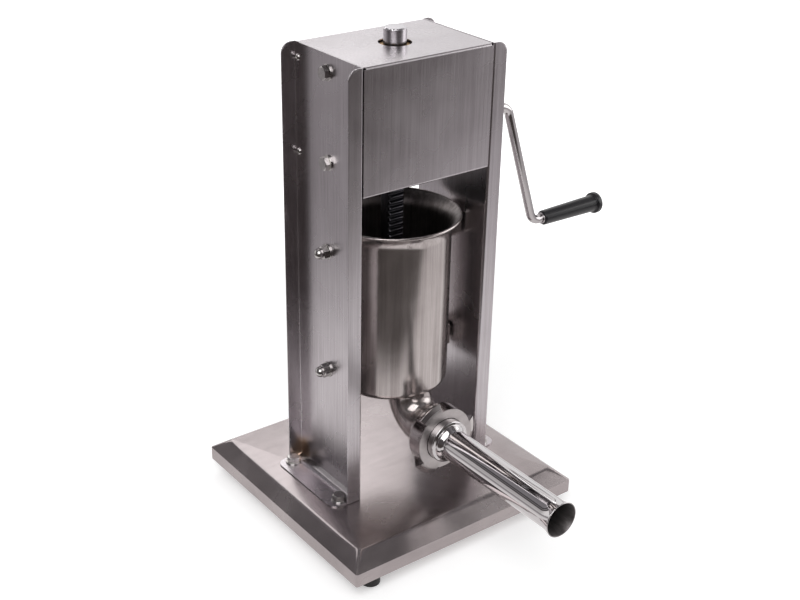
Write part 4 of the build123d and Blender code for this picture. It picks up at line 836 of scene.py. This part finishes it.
@dataclass
class SidePlates(SubAssembly):
    """The two flanged side plates with the bolts that hold them and the pegs that carry the barrel."""

    web: float = 81.5
    washer: float = 1.6
    sole_places: Pair = (100.5, 46.0)
    sole_top: float = 47.5
    head_heights: Pair = (419.3, 511.9)
    peg_heights: Pair = (182.2, 321.4)
    peg_y: float = 2.0
    flats: float = 13.0
    head_height: float = 5.3
    shank_radius: float = 4.0
    sole_shank: float = 13.1
    head_shank: float = 10.1
    bolt_edge: float = 0.25
    nut_height: float = 6.5
    nut_edge: float = 0.2
    stud: Pair = (3.9, 1.0)
    dome: Pair = (5.9, 14.0)

    def build(self) -> None:
        """Build the plates and their fasteners."""
        for hand in ("left", "right"):
            plate = welded(f"{hand}_side_plate", f"{hand}_flanged_plate")
            self.settle(plate, UPRIGHT_SHEET, "stand", f"{hand}_side_plate")
        x, y = self.sole_places
        seat = self.sole_top + self.washer
        soles = [((sx * x, sy * y, seat), (0, 0, 1)) for sx in (-1, 1) for sy in (-1, 1)]
        self.bolts("sole_hexagon_bolts", "sole_bolts", soles, self.sole_shank)
        out = self.web + self.washer
        self.bolts("head_hexagon_bolts", "head_bolts", on_webs(out, 0, self.head_heights), self.head_shank)
        self.domes(out)
        self.dress(BRIGHT_FASTENER, "sole_washers", "head_washers", "peg_washers", "lower_pegs", "upper_pegs")

    def bolts(self, name: str, node: str, spots: list, length: float) -> None:
        """Build one group of hexagon bolts."""
        sizes = {"Flats": self.flats, "Head Height": self.head_height}
        sizes |= {"Shank Radius": self.shank_radius, "Shank Length": length}
        tree = bpy.data.node_groups.get("hexagon_bolt") or hexagon_tree(False)
        bolts = grown(standing(name, spots), tree, BRIGHT_FASTENER, sizes, Spin=FASTENER_TURN, Seed=4)
        self.settle(eased(bolts, self.bolt_edge, degrees=25), BRIGHT_FASTENER, "stand", node)

    def domes(self, out: float) -> None:
        """Build the four dome nuts on the pegs' threads."""
        sizes = {"Flats": self.flats, "Head Height": self.nut_height}
        sizes |= zip(("Shank Radius", "Shank Length", "Dome Radius", "Dome Top"), self.stud + self.dome)
        points = standing("dome_nuts_on_pegs", on_webs(out, self.peg_y, self.peg_heights))
        nuts = grown(points, hexagon_tree(True), BRIGHT_FASTENER, sizes, Spin=FASTENER_TURN, Seed=9)
        self.settle(eased(nuts, self.nut_edge, degrees=30), BRIGHT_FASTENER, "stand", "dome_nuts")


@dataclass
class Head(SubAssembly):
    """The gear head between the side plates, with its folded covers."""

    web: float = 81.5
    screw_y: float = 52.5
    screw_heights: Pair = (415.8, 514.8)
    screw_head: Pair = (3.7, 2.3)
    screw_recess: float = 2.6
    screw_shank: Pair = (2.0, 6.7)

    def build(self) -> None:
        """Build the covers and their screws, and dress what is behind them."""
        for cover in ("front_cover", "rear_cover"):
            self.settle(welded(cover, f"folded_{cover}"), UPRIGHT_SHEET, "stand", cover)
        labels = ("Head Radius", "Head Height", "Shank Radius", "Shank Length")
        sizes = {"Recess Flats": self.screw_recess, **dict(zip(labels, self.screw_head + self.screw_shank))}
        points = standing("cover_button_screws", on_webs(self.web, self.screw_y, self.screw_heights))
        screws = grown(points, screw_tree(), BRIGHT_FASTENER, sizes, Spin=FASTENER_TURN, Seed=2)
        self.settle(smoothed(screws, degrees=35), BRIGHT_FASTENER, "stand", "cover_screws")
        self.dress(MACHINED, "left_bearing_plate", "right_bearing_plate")
        self.dress(MACHINED, "lower_guide_plate", "upper_guide_plate")
        self.dress(MACHINED, "crank_shaft", "rack_pinion", "drive_gear", "shaft_keys", "slow_pinion_shaft")
        self.dress(MACHINED, "crank_shaft_pin", "slow_shaft_pin")
        self.dress(BLACKENED, "crank_shaft_circlips", "slow_shaft_circlips")
        self.dress(TURNED_BRASS, "rod_bushes", "crank_shaft_bushes", "slow_shaft_bushes")
        self.dress(BRIGHT_FASTENER, "cover_nuts", "guide_plate_screws")


@dataclass
class RackAndPiston(SubAssembly):
    """The rack bar, the piston on its lower end and the piston's air valve."""

    def build(self) -> None:
        """Build the rack bar and dress the piston."""
        self.settle(welded("rack_rod", "rack_bar"), GROUND_BAR, "rack", "rack_rod")
        self.dress(NYLON, "piston")
        self.dress(SILICONE, "piston_seal")
        self.dress(BRIGHT_FASTENER, "piston_screw")
        self.dress(BENT_BAR, "valve_sleeve", "valve_poppet")


@dataclass
class Barrel(SubAssembly):
    """The drawn barrel with its rolled rim, its ears and its catches."""

    radius: float = 64.0
    sheet: float = 1.2
    floor_radius: float = 9.0
    rim_radius: float = 74.5
    bead: float = 1.5
    flare_height: float = 18.0
    outlet_y: float = -36.5
    outlet_radius: float = 22.5

    def outline(self) -> Outline:
        """Return the barrel's wall as a closed outline."""
        low, high = (corner.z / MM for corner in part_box("barrel"))
        inner, floor = self.radius - self.sheet, low + self.sheet
        reach = self.rim_radius - self.bead - self.radius
        bend = (self.flare_height**2 + reach**2) / (2 * reach)
        turn = math.asin(self.flare_height / bend)
        x, z = self.radius + bend, high - self.bead - self.flare_height
        lower = [(0, low, 0), (self.radius, low, self.floor_radius), (self.radius, z, 0)]
        outside = rounded(lower, 10)
        outside += arc(x, z, bend, 180, 180 - math.degrees(turn - self.bead / bend), 14)[1:]
        behind = math.sqrt(self.bead**2 - self.sheet**2)
        along, across = Vector((math.sin(turn), math.cos(turn))), Vector((-math.cos(turn), math.sin(turn)))
        start, end = -along, across * self.sheet - along * behind
        angles = [math.degrees(math.atan2(way.y, way.x)) for way in (start, end)]
        outside += arc(self.rim_radius - self.bead, high - self.bead, self.bead, *angles, 24)[1:]
        lip = 180 - math.degrees(turn - behind / (bend + self.sheet))
        inside = arc(x, z, bend + self.sheet, lip, 180, 14)[1:]
        bottom = [(inner, z, 0), (inner, floor, self.floor_radius - self.sheet), (0, floor, 0)]
        return outside + inside + rounded(bottom, 8)[1:]

    def build(self) -> None:
        """Build the barrel and what is welded to it."""
        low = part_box("barrel")[0].z / MM
        barrel = turned("drawn_barrel", self.outline(), Axis.Z, (0, 0, 0), sides=180)
        wide, below, above = self.outlet_radius, low - 10, low + 10
        hole = [(0, below), (wide, below), (wide, above), (0, above)]
        barrel = combined(barrel, turned("cutter", hole, Axis.Z, (0, self.outlet_y, 0), sides=96), "DIFFERENCE")
        # The faces inside the wall take the darker inner finish, whose tone is painted shade for the hollow.
        lined(self.settle(smoothed(barrel), DRAWN_WALL, "stand", "barrel"), Axis.Z, (0, 0, 0), SATIN_AND_SHADED_INNER_WALL)
        for hand in ("left", "right"):
            for part in ("ear", "catch"):
                node = f"{hand}_barrel_{part}"
                lug = welded(node, f"{hand}_welded_{part}")
                self.settle(lug, DRAWN_WALL, "stand", node)


def arc(x: float, y: float, radius: float, start: float, end: float, steps: int) -> Outline:
    """Return points along an arc, its angles in degrees."""
    angles = [math.radians(start + (end - start) * step / steps) for step in range(steps + 1)]
    return [(x + radius * math.cos(angle), y + radius * math.sin(angle)) for angle in angles]


@dataclass
class Spout(SubAssembly):
    """The spout under the barrel, the stuffing tube and the ring nut that holds it."""

    height: float = 117.5
    bell_radius: float = 24.0
    wall: float = 1.5
    tube_radius: float = 17.0
    tube_wall: float = 1.2
    mouth_y: float = -283.7
    mouth_radius: float = 19.6
    mouth_flare: float = 14.0
    cone_y: float = -118.0
    throat_y: float = -104.0
    step_y: Triple = (-113.6, -111.0, -110.0)
    step_radius: float = 20.3
    flange: float = 3.0
    flange_radius: float = 27.6

    def build(self) -> None:
        """Build the spout, the tube and the nut."""
        self.settle(welded("spout", "spout_elbow"), DRAWN_WALL, "stand", "spout")
        self.tube()
        nut = welded("ring_nut", "three_eared_nut", degrees=24)
        self.settle(nut, CAST_NUT, "ring_nut", "ring_nut")
        self.dress(DRAWN_TUBE, "spout_thread")
        self.dress(SILICONE, "spout_gasket")

    def tube(self) -> None:
        """Build the stuffing tube with its flange, its bell and its flared mouth."""
        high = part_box("stuffing_tube")[1].y / MM
        outer, inner, bell = self.tube_radius, self.tube_radius - self.tube_wall, self.bell_radius
        reach = self.mouth_radius - outer
        bend = (self.mouth_flare**2 + reach**2) / (2 * reach)
        x, y = outer + bend, self.mouth_y + self.mouth_flare
        half = self.tube_wall / 2
        turn = math.degrees(math.asin(self.mouth_flare / bend) - half / bend)
        mouth = arc(x, y, bend, 180, 180 + turn, 10)
        middle = arc(x, y, bend + half, 180 + turn, 180 + turn, 1)[0]
        mouth += arc(*middle, half, turn, turn - 180, 6)[1:-1]
        mouth += arc(x, y, bend + self.tube_wall, 180 + turn, 180, 10)
        step, rim, front, way_in = self.step_radius, self.flange_radius, high - self.flange, bell - self.wall
        edges = zip((step, step, bell), self.step_y, (1.5, 0.8, 1.2))
        start = [(outer, y, 0), (outer, self.cone_y, 6), *edges, (bell, front, 0.3), (rim, front, 0.3)]
        end = [(rim, high, 0.3), (way_in, high, 0), (way_in, self.throat_y, 3), (inner, self.cone_y + 1, 8)]
        outline = rounded([*start, *end, (inner, y, 0)]) + mouth[::-1][1:-1]
        tube = turned("stuffing_tube_drawn", outline, Axis.Y, (0, 0, self.height))
        tube = self.settle(tube, DRAWN_TUBE, "tube", "stuffing_tube")
        # The bore takes the darker bore finish, whose tone is painted shade for the hollow.
        lined(tube, Axis.Y, (0, 0, self.height), SATIN_AND_SHADED_TUBE_BORE)


@dataclass
class Crank(SubAssembly):
    """The lift-off crank with its turning grip."""

    shaft_y: float = -23.5
    shaft_z: float = 446.3
    grip_z: float = 301.8
    bar_radius: float = 5.0
    bar_xs: tuple[float, ...] = (112.6, 134, 181.3, 275.8)
    bends: Pair = (18, 14)
    collar: Triple = (6.5, 194.7, 196.7)
    stud: Triple = (3.0, 275, 282.2)
    bore: float = 5.08
    grip_radii: Triple = (8.4, 9.8, 12.4)
    grip_flange: float = 7.0
    recess: Pair = (7.5, 8.0)

    def build(self) -> None:
        """Build the crank and its grip."""
        socket = welded("crank_socket", "slotted_crank_socket")
        self.settle(socket, BENT_BAR, "crank", "crank_socket")
        self.arm()
        self.grip()
        self.dress(BRIGHT_FASTENER, "grip_nut")

    def arm(self) -> None:
        """Build the bent arm with its collar and its threaded end."""
        start, fall, foot, end = self.bar_xs
        high, low = self.shaft_z, self.grip_z
        path = [(start, high, 0), (fall, high, self.bends[0]), (foot, low, self.bends[1]), (end, low, 0)]
        line = [(x, self.shaft_y, z) for x, z in rounded(path, 16)]
        arm = swept("bent_crank_arm", line, self.bar_radius, 48, BENT_BAR)
        for name, (radius, near, far), edge in (("collar", self.collar, 0.4), ("stud", self.stud, 0)):
            outline = rounded([(0, near, 0), (radius, near, edge), (radius, far, edge), (0, far, 0)], 3)
            arm = combined(arm, turned(name, outline, Axis.X, (0, self.shaft_y, low), sides=48), "UNION")
        self.settle(smoothed(arm), BENT_BAR, "crank", "crank_arm")

    def grip(self) -> None:
        """Build the tapered grip with its flange."""
        low, high = (corner.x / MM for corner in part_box("crank_grip"))
        neck, waist, wide = self.grip_radii
        hollow, depth = self.recess
        corners = [(self.bore, low, 0), (neck, low, 2.2), (waist, high - self.grip_flange, 1.2)]
        corners += [(wide, high - self.grip_flange, 2.4), (wide, high, 2.4), (hollow, high, 0.5)]
        corners += [(hollow, high - depth, 0.5), (self.bore, high - depth, 0)]
        grip = turned("moulded_grip", rounded(corners, 8), Axis.X, (0, self.shaft_y, self.grip_z), sides=96)
        self.settle(grip, GRIP_PLASTIC, "grip", "crank_grip")


# -------- studio
@dataclass
class Studio:
    """The pale floor, the room round it, the soft lamps and the camera."""

    eye: Triple = (-0.7709, -1.0180, 0.8746)
    azimuth: float = -37.6
    elevation: float = 26.3
    roll: float = 1.2
    lens: float = 58.65
    sensor: float = 36.0
    clip: Pair = (0.01, 50.0)
    floor_half: float = 8.0
    paper: str = "#f4f4f4"
    paper_centre: Triple = (0.15, 0.0, 0.0)
    paper_radii: Pair = (0.36, 1.03)
    paper_glow: Pair = (0.3, 0.5)
    paper_mirrored: str = "#fbf7f7"
    paper_evenness: float = 0.7
    far_floor: str = "#cdc9cb"
    rear_floor: str = "#a39fa1"
    rear_way: Triple = (-0.6, 0.8, 0.0)
    rear_reach: Pair = (0.3, 0.6)
    card: str = "#4d4745"
    card_way: Triple = (-0.6, -0.8, 0.0)
    card_reach: Pair = (0.27, 0.4)
    dim_room: str = "#585455"
    dim_way: Triple = (-0.65, -0.6, 0.2)
    dim_reach: Pair = (-0.1, 0.55)
    soft_light: str = "#b4b4b4"
    wall_slope: float = 0.3
    wall_bands: tuple[tuple[float, str], ...] = (
        (0.0, "#ffffff"), (0.49, "#fbf7f7"), (0.53, "#3a3839"), (0.59, "#434142"), (0.61, "#a5a2a4"),
        (0.64, "#8d8a8c"), (0.66, "#333133"), (0.69, "#3f3d40"), (0.73, "#9a979b"), (1.0, "#6d6b6f"),
    )

    def build(self) -> None:
        """Build the whole studio."""
        self.floor()
        self.world()
        self.lamp("key", (-1.3, -1.1, 2.0), (0, 0, 0.25), size=2.0, power=34)
        self.lamp("fill", (1.8, -0.9, 0.9), (0, 0, 0.25), size=1.3, power=8)
        self.lamp("back", (0.6, 1.9, 2.4), (0, 0, 0.3), size=1.8, power=16)
        self.camera()
        bpy.context.scene.view_settings.view_transform = "Standard"

    def camera(self) -> None:
        """Set up the camera."""
        turn, tip, roll = (math.radians(angle) for angle in (self.azimuth, self.elevation, self.roll))
        right = Vector((math.cos(turn), math.sin(turn), 0))
        back = Vector((math.sin(turn) * math.cos(tip), -math.cos(turn) * math.cos(tip), math.sin(tip)))
        up = back.cross(right)
        across = right * math.cos(roll) + up * math.sin(roll)
        upward = up * math.cos(roll) - right * math.sin(roll)
        matrix = Matrix((across, upward, back)).transposed().to_4x4()
        matrix.translation = Vector(self.eye)
        data = bpy.data.cameras.new("camera")
        data.lens, data.sensor_width = self.lens, self.sensor
        data.clip_start, data.clip_end = self.clip
        camera = place("camera", data)
        camera.matrix_world = matrix
        bpy.context.scene.camera = camera

    def floor(self) -> None:
        """Lay the floor."""
        mesh = bpy.data.meshes.new("studio_floor")
        half = self.floor_half
        corners = [(-half, -half, 0), (half, -half, 0), (half, half, 0), (-half, half, 0)]
        mesh.from_pydata(corners, [], [(0, 1, 2, 3)])
        mesh.materials.append(self.paper_material())
        place("studio_floor", mesh)

    def paper_material(self) -> bpy.types.Material:
        """Return matt white paper that keeps the shadow; steel mirrors it as darker further away."""
        material = bpy.data.materials.new("matt_white_paper")
        tree = fresh_tree(material)
        rays = add_node(tree, "ShaderNodeLightPath").outputs
        away = zone(tree, Measure.DISTANCE, self.paper_centre, *self.paper_radii)
        card = zone(tree, Measure.ALONG, self.card_way, *self.card_reach)
        rear = zone(tree, Measure.ALONG, self.rear_way, *self.rear_reach)
        paper = add_node(tree, "ShaderNodeBsdfDiffuse", {"Color": linear(self.paper)})
        glow_near, glow_more = self.paper_glow
        strength = add_node(tree, "ShaderNodeMath", (away, glow_more, glow_near), operation="MULTIPLY_ADD")
        glow = add_node(tree, "ShaderNodeEmission", {"Color": linear("#ffffff"), "Strength": strength})
        lit = add_node(tree, "ShaderNodeAddShader", (paper, glow))
        near = add_node(tree, "ShaderNodeEmission", {"Color": linear(self.paper_mirrored)})
        near = add_node(tree, "ShaderNodeMixShader", (self.paper_evenness, paper, near))
        near = add_node(tree, "ShaderNodeMixShader", (rays["Is Glossy Ray"], paper, near))
        tone = overlaid(tree, card, overlaid(tree, rear, self.far_floor, self.rear_floor), self.card)
        dark = add_node(tree, "ShaderNodeEmission", {"Color": tone})
        far = add_node(tree, "ShaderNodeMath", (away, card), operation="MAXIMUM")
        mirrored = add_node(tree, "ShaderNodeMath", (far, rays["Is Glossy Ray"]), operation="MULTIPLY")
        plain = add_node(tree, "ShaderNodeMixShader", (mirrored, near, dark))
        shown = add_node(tree, "ShaderNodeMixShader", (rays["Is Camera Ray"], plain, lit))
        add_node(tree, "ShaderNodeOutputMaterial", {"Surface": shown})
        return material

    def world(self) -> None:
        """Surround the object with a banded room, dim on the camera's side, on a white background."""
        world = bpy.context.scene.world = bpy.data.worlds.new("studio")
        tree = fresh_tree(world)
        dim = zone(tree, Measure.ALONG, self.dim_way, *self.dim_reach, space="Generated")
        way = add_node(tree, "ShaderNodeTexCoord").outputs["Generated"]
        parts = add_node(tree, "ShaderNodeSeparateXYZ", (way,)).outputs
        terms = (parts["X"], -self.wall_slope, parts["Z"])
        rise = add_node(tree, "ShaderNodeMath", terms, operation="MULTIPLY_ADD")
        walls = add_node(tree, "ShaderNodeValToRGB", (rise,))
        bands = walls.color_ramp.elements
        for _ in self.wall_bands[2:]:
            bands.new(0.5)
        for band, (position, colour) in zip(bands, self.wall_bands):
            band.position, band.color = position, linear(colour)
        rays = add_node(tree, "ShaderNodeLightPath").outputs
        room = overlaid(tree, dim, walls.outputs["Color"], self.dim_room)
        plain = overlaid(tree, rays["Is Diffuse Ray"], room, self.soft_light)
        shown = overlaid(tree, rays["Is Camera Ray"], plain, "#ffffff")
        back = add_node(tree, "ShaderNodeBackground", {"Color": shown})
        add_node(tree, "ShaderNodeOutputWorld", {"Surface": back})

    def lamp(self, name: str, spot: Triple, aim: Triple, size: float, power: float) -> None:
        """Hang one square lamp that faces a point."""
        data = bpy.data.lights.new(name, "AREA")
        data.size, data.energy = size, power
        lamp = place(name, data)
        lamp.location = spot
        lamp.rotation_mode = "QUATERNION"
        lamp.rotation_quaternion = (Vector(aim) - Vector(spot)).to_track_quat("-Z", "Y")


def main() -> None:
    """Build the sub-assemblies and the studio in order."""
    logging.basicConfig(level=logging.INFO, format="%(name)s: %(message)s")
    for part in (Tray(), SidePlates(), Head(), RackAndPiston(), Barrel(), Spout(), Crank()):
        part.build()
    Studio().build()


if __name__ == "__main__":
    main()
